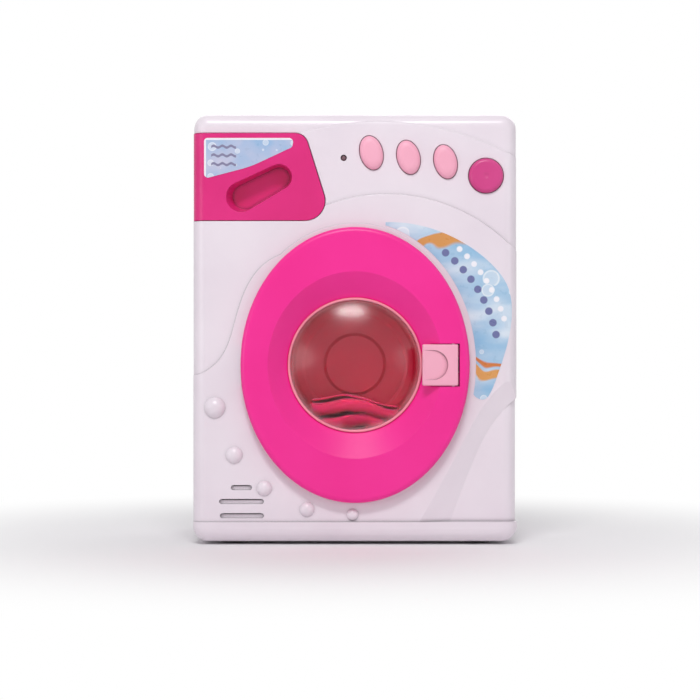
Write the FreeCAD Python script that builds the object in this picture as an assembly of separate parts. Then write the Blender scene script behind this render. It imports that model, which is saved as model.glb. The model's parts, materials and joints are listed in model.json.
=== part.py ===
import FreeCAD
import Part
import math
import os

from FreeCAD import Matrix, Vector

# Toy washing machine, in millimetres.
# +Z is up and the front faces -Y. The origin is on the surface that the toy stands on, under
# the middle of its box. A depth is measured from the cabinet's front plane, positive to the back.

# Cabinet. Places across it are often given as a share of its half width.
BODY_W = 180.0
HALF_W = BODY_W / 2
BODY_TOP = 240.0
BODY_D = 112.0
WALL = 2.2
CORNER_R = 8.5
EDGE_R = 7.0
REAR_EDGE_R = 4.0
FOOT_H = 2.0
FOOT_R = 8.0
FOOT_SINK = 1.0
FOOT_SIDE = 22.0
FOOT_INSET = 18.0
LIP_REACH = 2.5
LIP_T = 1.2

# Clearances
FIT = 0.15
RUN = 0.05
GAP = 0.4
CLEAR = 0.3

# Relief of the cabinet's front, as heights over its front plane
PANEL_UP = 0.8
SURROUND_UP = 1.8
WAVE_UP = 2.6
PLINTH_UP = 3.4
PLINTH_TOP = 12.8
STEP_RUN = 0.9
SIDE_SHARE = 0.12
PANEL_ARCH = (13.5, 79.7, 155.0)
SURROUND_ARCH = (18.0, 98.7, 96.0)
SURROUND_LEFT_TOP = 183.0
RING_MARGIN = 2.2
WAVE_CURVE = ((-98.0, 93.0), (-84.0, 95.2), (-74.6, 102.8), (-66.0, 124.4), (-57.2, 147.0), (-40.0, 161.0))
WAVE_FADE_X = 60.0
RIDGE_CURVE = ((98.0, 97.0), (81.0, 88.5), (67.5, 71.0), (54.0, 46.2), (42.8, 26.3), (31.0, 4.0))
CREASE_CURVE = ((99.0, 88.0), (88.0, 80.0), (74.5, 64.0), (66.0, 46.6), (59.0, 29.5), (49.0, 2.0))
CORNER_DROP = 4.0
BUBBLES = (
    (-0.8656 * HALF_W, 76.3, 6.2), (-0.7467 * HALF_W, 50.0, 5.0), (-0.56 * HALF_W, 31.5, 4.5),
    (-0.2967 * HALF_W, 19.8, 4.3), (-0.0156 * HALF_W, 16.9, 3.4),
)
BUBBLE_RISE = 0.62

# Door
DOOR_X = 0.0
DOOR_Z = 100.0
DOOR_HALF_W = 63.5
DOOR_HALF_H = 76.4
DOOR_T = 6.0
DOOR_RIM_R = 2.8
DOOR_SKIN = 2.2
FUNNEL_HALF_W = 48.3
FUNNEL_HALF_H = 51.7
FUNNEL_DEPTH = 9.0
WINDOW_R = 37.5
WINDOW_T = 1.8
WINDOW_RISE = 9.0
FLANGE_R = 41.5
FLANGE_T = 1.5
GASKET_W = 1.4
GASKET_H = 1.2
BOSS_R = 46.0
RETAINER_T = 1.8
RETAINER_SCREWS = 4
OPENING_R = 50.0
COLLAR_T = 2.0
COLLAR_REACH = 5.0
HINGE_PIN_R = 0.9
HINGE_BARREL_R = 1.9
HINGE_H = 20.0
HINGE_PIN_H = 32.0
DOOR_SWING = 105.0

# Door handle
HANDLE_W = 19.8
HANDLE_H = 22.8
HANDLE_T = 4.6
HANDLE_UP = 1.2
HANDLE_EDGE_R = 0.9
HANDLE_OVERHANG = 0.4
HANDLE_PIN_R = 0.8
HANDLE_PIN_INSET = 2.6
HANDLE_SWING = 15.0
SCOOP_H = 16.4
SCOOP_LENGTH = 13.2
SCOOP_SLOPE = 6.0
LEG_W = 2.2
LEG_H = 8.0
LEG_REACH = 12.0
HOOK_T = 2.2
HOOK_REACH = 2.0

# Detergent drawer
DRAWER_UP = 1.4
DRAWER_T = 2.2
DRAWER_TOP = 228.8
DRAWER_BOTTOM = 180.3
DRAWER_TOP_X = -0.3111 * HALF_W
DRAWER_BOTTOM_X = -0.1422 * HALF_W
DRAWER_TOP_R = 7.5
DRAWER_BOTTOM_R = 11.0
DRAWER_WRAP = 16.0
GRIP_ENDS = ((-0.7022 * HALF_W, 193.4, 8.5), (-0.4689 * HALF_W, 204.4, 7.2))
GRIP_FLOOR = ((-0.6833 * HALF_W, 194.3, 7.0), (-0.4733 * HALF_W, 204.6, 6.0))
GRIP_DEPTH = 10.0
GRIP_WALL = 1.5
TRAY_SIDE = 7.0
TRAY_X1 = -0.3667 * HALF_W
TRAY_FLOOR = 184.0
TRAY_RIM = 212.0
TRAY_LENGTH = 60.0
DRAWER_TRAVEL = 0.75 * TRAY_LENGTH
TRAY_WALL = 1.5
TRAY_DIVIDER_X = -0.6222 * HALF_W
SLEEVE_WALL = 1.8
SLEEVE_HEADROOM = 6.0
STOP_T = 1.5
STOP_H = 3.0
DRAWER_POSTS = ((-0.8556 * HALF_W, 206.5), (-0.4167 * HALF_W, 189.5))

# Control panel
BUTTON_HALF_W = 6.3
BUTTON_HALF_H = 9.5
BUTTON_LEAN = -14.0
BUTTON_RISE = 3.2
DOME_SHARE = 0.9
BUTTONS = (
    ("left", 0.1011 * HALF_W, 217.9),
    ("middle", 0.33 * HALF_W, 215.4),
    ("right", 0.5589 * HALF_W, 212.9),
)
POWER_X = 0.8089 * HALF_W
POWER_Z = 205.2
POWER_R = 9.6
POWER_RISE = 2.6
BUTTON_FLANGE = 1.3
BUTTON_FLANGE_T = 1.2
BUTTON_TRAVEL = 1.5
STEM_R = 2.0
STEM_REACH = 9.0
PLUNGER_R = 1.7
SWITCH_SIZE = 6.4
SWITCH_T = 3.6
BOARD_DEPTH = 15.0
BOARD_T = 1.6
BOARD_X0 = -0.1444 * HALF_W
BOARD_SIDE = 6.0
BOARD_Z0 = 196.5
BOARD_Z1 = 227.5
BOARD_POSTS = (
    (-0.1 * HALF_W, 223.5),
    (-0.1 * HALF_W, 200.5),
    (0.4444 * HALF_W, 200.5),
    (0.8889 * HALF_W, 223.5),
)
POST_R = 3.0
LED_X = -0.07 * HALF_W
LED_Z = 215.1
LED_R = 1.6

# Speaker behind the vent slots, which are placed from its middle
SPEAKER_SIDE = 27.2
SPEAKER_Z = 24.4
SPEAKER_R = 15.0
SPEAKER_T = 5.0
MAGNET_R = 8.5
MAGNET_T = 7.0
SLOT_H = 2.8
SLOT_OPEN = 0.6
SLOT_SINK = 1.3
SLOTS = ((-6.1, 5.6, 7.5), (-12.6, 12.2, -0.2), (-12.2, 12.2, -8.1))
SPEAKER_POST_ANGLES = (45.0, 135.0)
SPEAKER_POST_OUT = 4.4
CLAMP_T = 1.4

# Drum and its drive
DRUM_R = 54.0
DRUM_WALL = 1.7
DRUM_FRONT = 9.0
DRUM_MOUTH_R = 47.5
DRUM_DISC_R = 16.5
DRUM_RING_R = 29.0
DRUM_HOLE_ROWS = 3
DRUM_HOLE_COLUMNS = 15
DRUM_HOLE_R = 1.8
PADDLES = 3
PADDLE_H = 9.0
PADDLE_W = 12.0
PADDLE_CREST_W = 4.8
PADDLE_FOOT_R = 0.5
PADDLE_CREST_R = 2.0
SHAFT_R = 2.5
HUB_R = 8.0
GEAR_SLOPE = 25.0
GEAR_BACKLASH = 0.10
GEAR_ROOT = 1.25
FLANK_STEPS = 4
SLOW_MODULE = 0.8
FAST_MODULE = 0.5
WHEEL_TEETH = 60
PINION_TEETH = 12
GEAR_T = 4.0
GEAR_SPACE = 1.2
SLOW_ANGLE = 30.0
FAST_ANGLE = 60.0
AXLE_R = 1.5
CASE_WALL = 1.8
CASE_X0 = -32.0
CASE_X1 = 52.0
CASE_Z0 = 68.0
CASE_Z1 = 147.0
CASE_DRUM_GAP = 4.5
BUSH_WALL = 1.6
BUSH_FLANGE = 0.8
MOTOR_R = 10.0
MOTOR_FLAT = 15.2
MOTOR_L = 25.0
MOTOR_SHAFT_R = 1.0
MOTOR_WALL = 0.8
ARMATURE_R = 6.2
MOTOR_ROOM = 11.1

# Battery bay
CELL_R = 7.1
CELL_L = 49.3
CELL_NUB_R = 2.7
CELL_NUB_H = 1.2
CELLS = 3
CELL_PITCH = 15.0
CONTACT_T = 0.4
CONTACT_REACH = 1.2
BAY_WALL = 1.6
BAY_FLOOR_Z = 17.0
COVER_LEDGE = 2.0
COVER_T = 1.6
COVER_RIBS = 5
TONGUE_W = 16.0
TONGUE_T = 1.2
TONGUE_REACH = 3.0

# Fasteners
SCREW_R = 1.3
SCREW_HEAD_R = 2.5
SCREW_HEAD_T = 1.5
SMALL_SCREW_R = 0.9
SMALL_HEAD_R = 1.7
SMALL_HEAD_T = 1.0
PILOT_CLEAR = 0.03
CASE_SCREW_L = 12.0
SMALL_SCREW_L = 5.0
GEAR_SCREW_L = 8.0
COVER_SCREW_L = 7.0
COLUMN_R = 4.2
COLUMN_SIDE = 11.0
COLUMN_INSET = 5.2

# Labels and laundry. The front label's points are shares of the door's half width and half height.
LABEL_T = 0.2
LABEL_GAP = 0.6
LABEL_OUTER = (
    (0.268, 1.037), (0.620, 1.003), (0.917, 0.903), (1.187, 0.738), (1.339, 0.563), (1.373, 0.366),
    (1.307, 0.079), (1.235, -0.100), (1.185, -0.200), (1.130, -0.250), (1.080, -0.245),
)
LABEL_END = -0.2
DRAWER_LABEL = (
    (-0.9322 * HALF_W, 226.1, 2.0), (-0.3744 * HALF_W, 226.1, 2.4), (-0.3889 * HALF_W, 221.0, 2.0),
    (-0.6444 * HALF_W, 210.2, 60.0), (-0.9322 * HALF_W, 203.4, 2.2),
)
LAUNDRY_TOP = 86.0
LAUNDRY_HALF_W = 27.0

# Depths and places worked out from the sizes above
SPLIT = BODY_D / 2
FOOT_X = HALF_W - FOOT_SIDE
COLUMN_X = HALF_W - COLUMN_SIDE
SPEAKER_X = SPEAKER_SIDE - HALF_W
TRAY_X0 = TRAY_SIDE - HALF_W
BOARD_X1 = HALF_W - BOARD_SIDE
DOOR_BACK = -(WAVE_UP + GAP)
DOOR_FRONT = DOOR_BACK - DOOR_T
WINDOW_SEAT = DOOR_FRONT + FUNNEL_DEPTH
RETAINER_BACK = WINDOW_SEAT + FLANGE_T + RETAINER_T
HINGE_X = DOOR_X - DOOR_HALF_W + DOOR_T / 2
HINGE_DEPTH = DOOR_BACK - DOOR_T / 2
HANDLE_X0 = DOOR_X + WINDOW_R - HANDLE_OVERHANG
HANDLE_X1 = HANDLE_X0 + HANDLE_W
HANDLE_FRONT = DOOR_FRONT - HANDLE_UP
HANDLE_BACK = HANDLE_FRONT + HANDLE_T
HANDLE_PIN_X = HANDLE_X1 - HANDLE_PIN_INSET
HANDLE_PIN_DEPTH = DOOR_FRONT + 2 * HANDLE_PIN_R
FRONT_MOST = min(HANDLE_FRONT, WINDOW_SEAT - WINDOW_RISE)
FRONT_Y = -(BODY_D + FRONT_MOST) / 2

SPEAKER_BACK = WALL + SPEAKER_T
TRAY_FRONT = GRIP_DEPTH + GRIP_WALL + CLEAR
TRAY_BACK = TRAY_FRONT + TRAY_LENGTH
SLEEVE_FRONT = DRAWER_WRAP + GAP
SLEEVE_BACK = TRAY_BACK + CLEAR + SLEEVE_WALL
SLEEVE_TOP = TRAY_RIM + SLEEVE_HEADROOM
STOP_FRONT = SLEEVE_FRONT + STOP_T + DRAWER_TRAVEL + CLEAR
CEILING = BODY_TOP - WALL
SWITCH_FRONT = BOARD_DEPTH - SWITCH_T

DRIVE_DEPTH = CASE_DRUM_GAP + 2 * CASE_WALL + 3 * GEAR_SPACE + 2 * GEAR_T + MOTOR_L
DRUM_BACK = BODY_D - WALL - MOTOR_ROOM - DRIVE_DEPTH
CASE_FRONT = DRUM_BACK + CASE_DRUM_GAP
SLOW_FRONT = CASE_FRONT + CASE_WALL + GEAR_SPACE
SLOW_BACK = SLOW_FRONT + GEAR_T
FAST_FRONT = SLOW_BACK + GEAR_SPACE
FAST_BACK = FAST_FRONT + GEAR_T
COVER_FRONT = FAST_BACK + GEAR_SPACE
COVER_BACK = COVER_FRONT + CASE_WALL
MOTOR_BACK = COVER_BACK + MOTOR_L
SLOW_REACH = SLOW_MODULE * (WHEEL_TEETH + PINION_TEETH) / 2
FAST_REACH = FAST_MODULE * (WHEEL_TEETH + PINION_TEETH) / 2
AXLE_X = DOOR_X + SLOW_REACH * math.cos(math.radians(SLOW_ANGLE))
AXLE_Z = DOOR_Z + SLOW_REACH * math.sin(math.radians(SLOW_ANGLE))
MOTOR_X = AXLE_X + FAST_REACH * math.cos(math.radians(FAST_ANGLE))
MOTOR_Z = AXLE_Z + FAST_REACH * math.sin(math.radians(FAST_ANGLE))
CASE_EAR = COLUMN_R
CASE_POSTS = (
    (CASE_X0 + CASE_EAR, CASE_Z0 + CASE_EAR),
    (CASE_X1 - CASE_EAR, CASE_Z0 + CASE_EAR),
    (CASE_X0 + CASE_EAR, CASE_Z1 - CASE_EAR),
    (CASE_X1 - CASE_EAR, CASE_Z1 - CASE_EAR),
)
COLUMNS = (
    (-COLUMN_X, FOOT_H + WALL + COLUMN_INSET),
    (COLUMN_X, FOOT_H + WALL + COLUMN_INSET),
    (-COLUMN_X, CEILING - COLUMN_INSET),
    (COLUMN_X, CEILING - COLUMN_INSET),
)
FEET = (
    (-FOOT_X, FOOT_INSET),
    (FOOT_X, FOOT_INSET),
    (-FOOT_X, BODY_D - FOOT_INSET),
    (FOOT_X, BODY_D - FOOT_INSET),
)

COVER_FACE = BODY_D - COVER_T
BAY_HALF_W = (CELLS - 1) * CELL_PITCH / 2 + CELL_R + 2 * CLEAR
BAY_TOP_Z = BAY_FLOOR_Z + CELL_L + CELL_NUB_H + 2 * (CONTACT_T + CONTACT_REACH)
BAY_DEPTH = COVER_FACE - 2 * (CELL_R + CLEAR)
COVER_SCREW_Z = BAY_TOP_Z + BAY_WALL + SCREW_HEAD_R + 1.0
COVER_TOP_Z = COVER_SCREW_Z + SCREW_HEAD_R + COVER_LEDGE

BACKWARD = Vector(0, 1, 0)
UPWARD = Vector(0, 0, 1)
FAR = 20.0
CORNER_FAR = ((BODY_W, -FAR), (BODY_W, BODY_TOP / 2))


def at(x, depth, z):
    return Vector(x, FRONT_Y + depth, z)


def block(x0, x1, d0, d1, z0, z1):
    return Part.makeBox(x1 - x0, d1 - d0, z1 - z0, at(x0, d0, z0))


def rod(x, z, d0, d1, radius):
    return Part.makeCylinder(radius, d1 - d0, at(x, d0, z), BACKWARD)


def pipe(x, z, d0, d1, outer, inner):
    return rod(x, z, d0, d1, outer).cut(rod(x, z, d0 - 1, d1 + 1, inner))


def cone(x, z, d0, r0, d1, r1):
    return Part.makeCone(r0, r1, d1 - d0, at(x, d0, z), BACKWARD)


def upright(x, depth, z0, z1, radius):
    return Part.makeCylinder(radius, z1 - z0, at(x, depth, z0), UPWARD)


def fuse(shapes):
    whole = shapes[0]
    for shape in shapes[1:]:
        whole = whole.fuse(shape)
    return whole.removeSplitter()


def lathe(x, z, section):
    """Turn a half section of (radius, depth) points about the line through x and z."""
    points = [at(x + radius, depth, z) for radius, depth in section]
    face = Part.Face(Part.makePolygon(points + points[:1]))
    return face.revolve(at(x, 0, z), BACKWARD, 360)


def turned(shape, x, depth, degrees):
    """Copy of a shape turned about the upright line through x and depth."""
    copy = shape.copy()
    copy.rotate(at(x, depth, 0), UPWARD, degrees)
    return copy


def spun(shape, x, z, degrees):
    """Copy of a shape turned about the line through x and z that runs front to back."""
    copy = shape.copy()
    copy.rotate(at(x, 0, z), BACKWARD, -degrees)
    return copy


def polar(x, z, radius, degrees):
    angle = math.radians(degrees)
    return x + radius * math.cos(angle), z + radius * math.sin(angle)


def outline(corners, depth):
    """Closed wire with an arc at each corner, from corners of (x, z, radius)."""
    stretches = []
    count = len(corners)
    for index, (x, z, radius) in enumerate(corners):
        corner = at(x, depth, z)
        before = corners[index - 1]
        after = corners[(index + 1) % count]
        to_before = (at(before[0], depth, before[1]) - corner).normalize()
        to_after = (at(after[0], depth, after[1]) - corner).normalize()
        half = to_before.getAngle(to_after) / 2
        inwards = (to_before + to_after).normalize()
        reach = radius / math.tan(half)
        middle = corner + inwards * (radius / math.sin(half) - radius)
        stretches.append((corner + to_before * reach, middle, corner + to_after * reach))
    edges = []
    for index, (start, middle, finish) in enumerate(stretches):
        edges.append(Part.Arc(start, middle, finish).toShape())
        following = stretches[(index + 1) % count][0]
        edges.append(Part.makeLine(finish, following))
    return Part.Wire(edges)


def plate(corners, d0, d1):
    return Part.Face(outline(corners, d0)).extrude(Vector(0, d1 - d0, 0))


def oval(x, z, half_w, half_h, depth, lean=0.0):
    """Oval wire of four quarters, always started at the same point so that lofts don't twist."""
    stretch = Matrix()
    stretch.scale(half_w, 1.0, half_h)
    edges = []
    for start in (0, 90, 180, 270):
        quarter = Part.makeCircle(1.0, Vector(), BACKWARD, start, start + 90)
        edges += quarter.transformGeometry(stretch).Edges
    wire = Part.Wire(edges)
    wire.rotate(Vector(), BACKWARD, lean)
    wire.translate(at(x, depth, z))
    return wire


def oval_plug(x, z, half_w, half_h, d0, d1, lean=0.0):
    face = Part.Face(oval(x, z, half_w, half_h, d0, lean))
    return face.extrude(Vector(0, d1 - d0, 0))


def loft(wires):
    return Part.makeLoft(wires, True, True)


def edges_at_depth(shape, depth):
    y = FRONT_Y + depth
    return [e for e in shape.Edges if all(abs(p.y - y) < 1e-4 for p in e.discretize(5))]


def body_block(front, grow=0.0):
    """The cabinet's rounded block with its front at a depth; grow moves its other faces out."""
    half = BODY_W / 2 + grow
    back = BODY_D + grow
    shape = block(-half, half, front, back, FOOT_H - grow, BODY_TOP + grow)
    long_edges = [e for e in shape.Edges if abs(e.tangentAt(e.FirstParameter).y) > 0.9]
    shape = shape.makeFillet(CORNER_R + grow, long_edges)
    shape = shape.makeFillet(EDGE_R + grow, edges_at_depth(shape, front))
    return shape.makeFillet(REAR_EDGE_R + grow, edges_at_depth(shape, back))


def raised_block(height, extra=0.0):
    """The cabinet's block with its front raised; its sides stand out by a small share of that."""
    return body_block(-height - extra, height * SIDE_SHARE + extra)


def curve_edges(curve, far_corners, depth):
    """Edges of a smooth curve and of the straight lines that close it through far corners."""
    points = [at(x, depth, z) for x, z in curve]
    spline = Part.BSplineCurve()
    spline.interpolate(points)
    rest = [points[-1]] + [at(x, depth, z) for x, z in far_corners] + [points[0]]
    return [spline.toShape()] + [Part.makeLine(a, b) for a, b in zip(rest, rest[1:])]


def ruled_solid(edges0, edges1):
    """Solid between two closed outlines whose edges match one by one."""
    faces = [Part.makeRuledSurface(a, b, 1) for a, b in zip(edges0, edges1)]
    faces += [Part.Face(Part.Wire(edges0)), Part.Face(Part.Wire(edges1))]
    shell = Part.makeShell(faces)
    shell.sewShape()
    solid = Part.makeSolid(shell)
    if solid.Volume < 0:
        solid.reverse()
    return solid


def curve_wedge(curve0, depth0, curve1, depth1, far_corners):
    """Solid between two such outlines at two depths, with straight sloping sides."""
    edges0 = curve_edges(curve0, far_corners, depth0)
    return ruled_solid(edges0, curve_edges(curve1, far_corners, depth1))


def screw(x, z, head_depth, length, radius, head_r, head_t):
    """Screw driven from behind: its head ends at head_depth and its shank points to the front."""
    head = rod(x, z, head_depth - head_t, head_depth, head_r)
    socket = rod(x, z, head_depth - head_t / 2, head_depth + 1, head_r / 2)
    shank = rod(x, z, head_depth - head_t - length, head_depth - head_t, radius)
    return head.cut(socket).fuse(shank)


def pilot(x, z, head_depth, length, radius, head_t):
    """Hole for the shank of a screw, a little longer than it."""
    return rod(x, z, head_depth - head_t - length - 1, head_depth - head_t + 1, radius + PILOT_CLEAR)


def drawer_corners(margin):
    """Outline of the drawer front, let out by a margin; its left end is past the cabinet."""
    lean = (DRAWER_BOTTOM_X - DRAWER_TOP_X) / (DRAWER_TOP - DRAWER_BOTTOM)
    side = margin * math.hypot(1.0, lean)
    left = -BODY_W / 2 - FAR
    top_x = DRAWER_TOP_X + side - margin * lean
    bottom_x = DRAWER_BOTTOM_X + side + margin * lean
    return (
        (left, DRAWER_BOTTOM - margin, 1.0),
        (bottom_x, DRAWER_BOTTOM - margin, DRAWER_BOTTOM_R + margin),
        (top_x, DRAWER_TOP + margin, DRAWER_TOP_R + margin),
        (left, DRAWER_TOP + margin, 1.0),
    )


def sloped_disc(arch, height):
    """Region under an arch whose edge slopes out by the step's run down to the front plane."""
    x, z, radius = arch
    slope = cone(x, z, -2 * height, radius - STEP_RUN, 0.0, radius + STEP_RUN)
    return slope.fuse(rod(x, z, 0.0, SPLIT + 1, radius + STEP_RUN))


def corner_wedge():
    """Wedge over the sunk lower right corner, from its ridge down to its crease."""
    over = []
    for ridge, crease in zip(RIDGE_CURVE, CREASE_CURVE):
        over.append((2 * ridge[0] - crease[0], 2 * ridge[1] - crease[1]))
    top = -SURROUND_UP - CORNER_DROP
    return curve_wedge(over, top, CREASE_CURVE, CORNER_DROP - SURROUND_UP, CORNER_FAR)


def corner_cut():
    """What is taken off the lower right corner, down to a smaller block of the same form."""
    floor = CORNER_DROP - SURROUND_UP
    side = Part.Face(Part.Wire(curve_edges(CREASE_CURVE, CORNER_FAR, floor))).extrude(Vector(0, SPLIT, 0))
    return corner_wedge().fuse(side).cut(body_block(floor, -CLEAR))


def wave_pad():
    """Raised wave round the lower left of the door, fading out to the right."""
    toe = [(x - STEP_RUN, z + STEP_RUN) for x, z in WAVE_CURVE]
    tail = ((WAVE_CURVE[-1][0], -FAR), (WAVE_CURVE[0][0], -FAR))
    bank = curve_wedge(WAVE_CURVE, -2 * WAVE_UP, toe, 0.0, tail)
    side = Part.Face(Part.Wire(curve_edges(toe, tail, 0.0))).extrude(Vector(0, SPLIT + 1, 0))
    half_w = DOOR_HALF_W + RING_MARGIN
    half_h = DOOR_HALF_H + RING_MARGIN
    ring = loft([
        oval(DOOR_X, DOOR_Z, half_w - STEP_RUN, half_h - STEP_RUN, -2 * WAVE_UP),
        oval(DOOR_X, DOOR_Z, half_w + STEP_RUN, half_h + STEP_RUN, 0.0),
    ])
    skirt_top = DOOR_Z - DOOR_HALF_H / 2
    skirt = block(WAVE_CURVE[-1][0] - 1, WAVE_FADE_X, -2 * WAVE_UP, SPLIT + 1, -FAR, skirt_top)
    region = bank.fuse(side).fuse(skirt).fuse(ring)
    fall = math.degrees(math.atan2(WAVE_UP - SURROUND_UP, WAVE_FADE_X + BODY_W / 2))
    shaving = block(-BODY_W, BODY_W, -FAR, -WAVE_UP, -FAR, BODY_TOP + FAR)
    shaving = turned(shaving, -BODY_W / 2, -WAVE_UP, fall)
    return raised_block(WAVE_UP).common(region).cut(shaving)


def cabinet_block():
    """Solid outside of the cabinet with the relief of its front."""
    panel = raised_block(PANEL_UP).common(sloped_disc(PANEL_ARCH, PANEL_UP))
    x, z, radius = SURROUND_ARCH
    field = fuse([
        sloped_disc(SURROUND_ARCH, SURROUND_UP),
        block(-BODY_W, BODY_W, -FAR, SPLIT + 1, -FAR, z),
        block(-BODY_W, x, -FAR, SPLIT + 1, -FAR, SURROUND_LEFT_TOP),
    ])
    surround = raised_block(SURROUND_UP).common(field)
    body = fuse([body_block(0.0), panel, surround, wave_pad()])
    body = body.cut(corner_cut())
    foot = block(-BODY_W, BODY_W, -FAR, SPLIT + 1, -FAR, PLINTH_TOP)
    plinth = raised_block(PLINTH_UP).common(foot)
    bumps = []
    for x, z, radius in BUBBLES:
        rise = radius * BUBBLE_RISE
        ball_r = (radius ** 2 + rise ** 2) / (2 * rise)
        ball = Part.makeSphere(ball_r, at(x, ball_r - rise - WAVE_UP + STEP_RUN / 2, z))
        bumps.append(ball.common(rod(x, z, -FAR, WALL / 2, radius)))
    return fuse([body, plinth] + bumps)


def cavity():
    """Room inside the cabinet, which keeps a wall behind the sunk corner too."""
    behind = corner_wedge()
    behind.translate(Vector(0, WALL, 0))
    return body_block(WALL, -WALL).cut(behind)


def column(x, z, d0, d1, radius, web_end):
    """Screw column tied to the nearest side wall by a web that ends at its own depth."""
    side = math.copysign(BODY_W / 2 - WALL / 2, x)
    web = block(min(x, side), max(x, side), d0, web_end, z - WALL / 2, z + WALL / 2)
    return rod(x, z, d0, d1, radius).fuse(web)


def slot_hole(x0, x1, z):
    """Round-ended groove in the front, open through the wall along its upper edge alone."""
    half = SLOT_H / 2
    floor = SLOT_SINK - WAVE_UP
    ends = (rod(x0 + half, z, -FAR, floor, half), rod(x1 - half, z, -FAR, floor, half))
    bar = block(x0 + half, x1 - half, -FAR, floor, z - half, z + half)
    opening = block(x0 + half, x1 - half, -FAR, FAR / 2, z + half - SLOT_OPEN, z + half)
    return fuse([bar, ends[0], ends[1], opening])


def speaker_posts():
    return [polar(SPEAKER_X, SPEAKER_Z, SPEAKER_R + SPEAKER_POST_OUT, a) for a in SPEAKER_POST_ANGLES]


def sleeve_posts():
    middle = (SLEEVE_FRONT + SPLIT) / 2
    inset = (TRAY_X1 - TRAY_X0) / 4
    return ((TRAY_X0 + inset, middle), (TRAY_X1 - inset, middle))


def front_shell():
    inner = WALL / 2
    inside = [pipe(DOOR_X, DOOR_Z, inner, WALL + COLLAR_REACH, OPENING_R + COLLAR_T, OPENING_R)]
    inside += [rod(x, z, inner, BOARD_DEPTH, POST_R) for x, z in BOARD_POSTS]
    inside += [rod(x, z, inner, SPEAKER_BACK, POST_R) for x, z in speaker_posts()]
    web_end = SPLIT - LIP_REACH - FIT
    inside += [column(x, z, DRAWER_WRAP + 2 * GAP, SPLIT, COLUMN_R, web_end) for x, z in COLUMNS]
    inside += [upright(x, d, SLEEVE_TOP + SLEEVE_WALL, CEILING + inner, POST_R) for x, d in sleeve_posts()]
    body = cabinet_block().common(block(-BODY_W, BODY_W, -FAR, SPLIT, -FAR, BODY_TOP + FAR))
    body = body.cut(cavity().cut(inside))
    lug_z = DOOR_Z - HINGE_H / 2
    lug = block(HINGE_X - RUN, HINGE_X + HINGE_BARREL_R, HINGE_DEPTH, 0.0, lug_z, lug_z + HINGE_H)
    barrel = upright(HINGE_X, HINGE_DEPTH, lug_z, lug_z + HINGE_H, HINGE_BARREL_R)
    body = body.fuse(lug.fuse(barrel))
    latch_half = LEG_H / 2 + CLEAR
    reach = HANDLE_BACK + LEG_REACH - HANDLE_PIN_DEPTH
    sweep = reach * math.sin(math.radians(HANDLE_SWING))
    latch_x0 = HANDLE_PIN_X - LEG_W - sweep
    latch_x1 = HANDLE_PIN_X + LEG_W / 2 + HOOK_REACH + 2 * GAP
    cuts = [
        rod(DOOR_X, DOOR_Z, -FAR, WALL + 1, OPENING_R),
        block(latch_x0, latch_x1, -FAR, FAR, DOOR_Z - latch_half, DOOR_Z + latch_half),
        upright(HINGE_X, HINGE_DEPTH, lug_z - 1, lug_z + HINGE_H + 1, HINGE_PIN_R + RUN),
        plate(drawer_corners(GAP), -FAR, DRAWER_WRAP + GAP),
        rod(LED_X, LED_Z, -FAR, FAR, LED_R + FIT),
        rod(POWER_X, POWER_Z, -FAR, FAR, POWER_R + GAP),
    ]
    for name, x, z in BUTTONS:
        cuts.append(oval_plug(x, z, BUTTON_HALF_W + GAP, BUTTON_HALF_H + GAP, -FAR, WALL + 1, BUTTON_LEAN))
    cuts += [slot_hole(SPEAKER_X + x0, SPEAKER_X + x1, SPEAKER_Z + z) for x0, x1, z in SLOTS]
    cuts += [screw_hole(x, z, BOARD_DEPTH + BOARD_T) for x, z in BOARD_POSTS]
    cuts += [screw_hole(x, z, SPEAKER_BACK + CLAMP_T) for x, z in speaker_posts()]
    cuts += [pilot(x, z, case_head_depth(), CASE_SCREW_L, SCREW_R, SCREW_HEAD_T) for x, z in COLUMNS]
    for x, d in sleeve_posts():
        cuts.append(upright(x, d, SLEEVE_TOP, SLEEVE_TOP + SMALL_SCREW_L, SMALL_SCREW_R + PILOT_CLEAR))
    cuts += foot_recesses()
    return body.cut(cuts)


def screw_hole(x, z, seat):
    """Pilot hole of a small screw whose head sits on a seat facing the back."""
    return pilot(x, z, seat + SMALL_HEAD_T, SMALL_SCREW_L, SMALL_SCREW_R, SMALL_HEAD_T)


def small_screw(x, z, seat):
    return screw(x, z, seat + SMALL_HEAD_T, SMALL_SCREW_L, SMALL_SCREW_R, SMALL_HEAD_R, SMALL_HEAD_T)


def case_head_depth():
    return SPLIT + WALL + SCREW_HEAD_T


def foot_recesses():
    return [upright(x, d, 0.0, FOOT_H + FOOT_SINK, FOOT_R + FIT) for x, d in FEET]


def rim_band(outer, inner, d0, d1):
    """Band that follows the cabinet's inside between two insets from its wall."""
    half = BODY_W / 2 - WALL
    corner = CORNER_R - WALL
    sheets = []
    for inset in (outer, inner):
        x = half - inset
        radius = corner - inset
        low = FOOT_H + WALL + inset
        top = CEILING - inset
        corners = ((-x, low, radius), (x, low, radius), (x, top, radius), (-x, top, radius))
        sheets.append(plate(corners, d0, d1))
    return sheets[0].cut(sheets[1])


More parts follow.
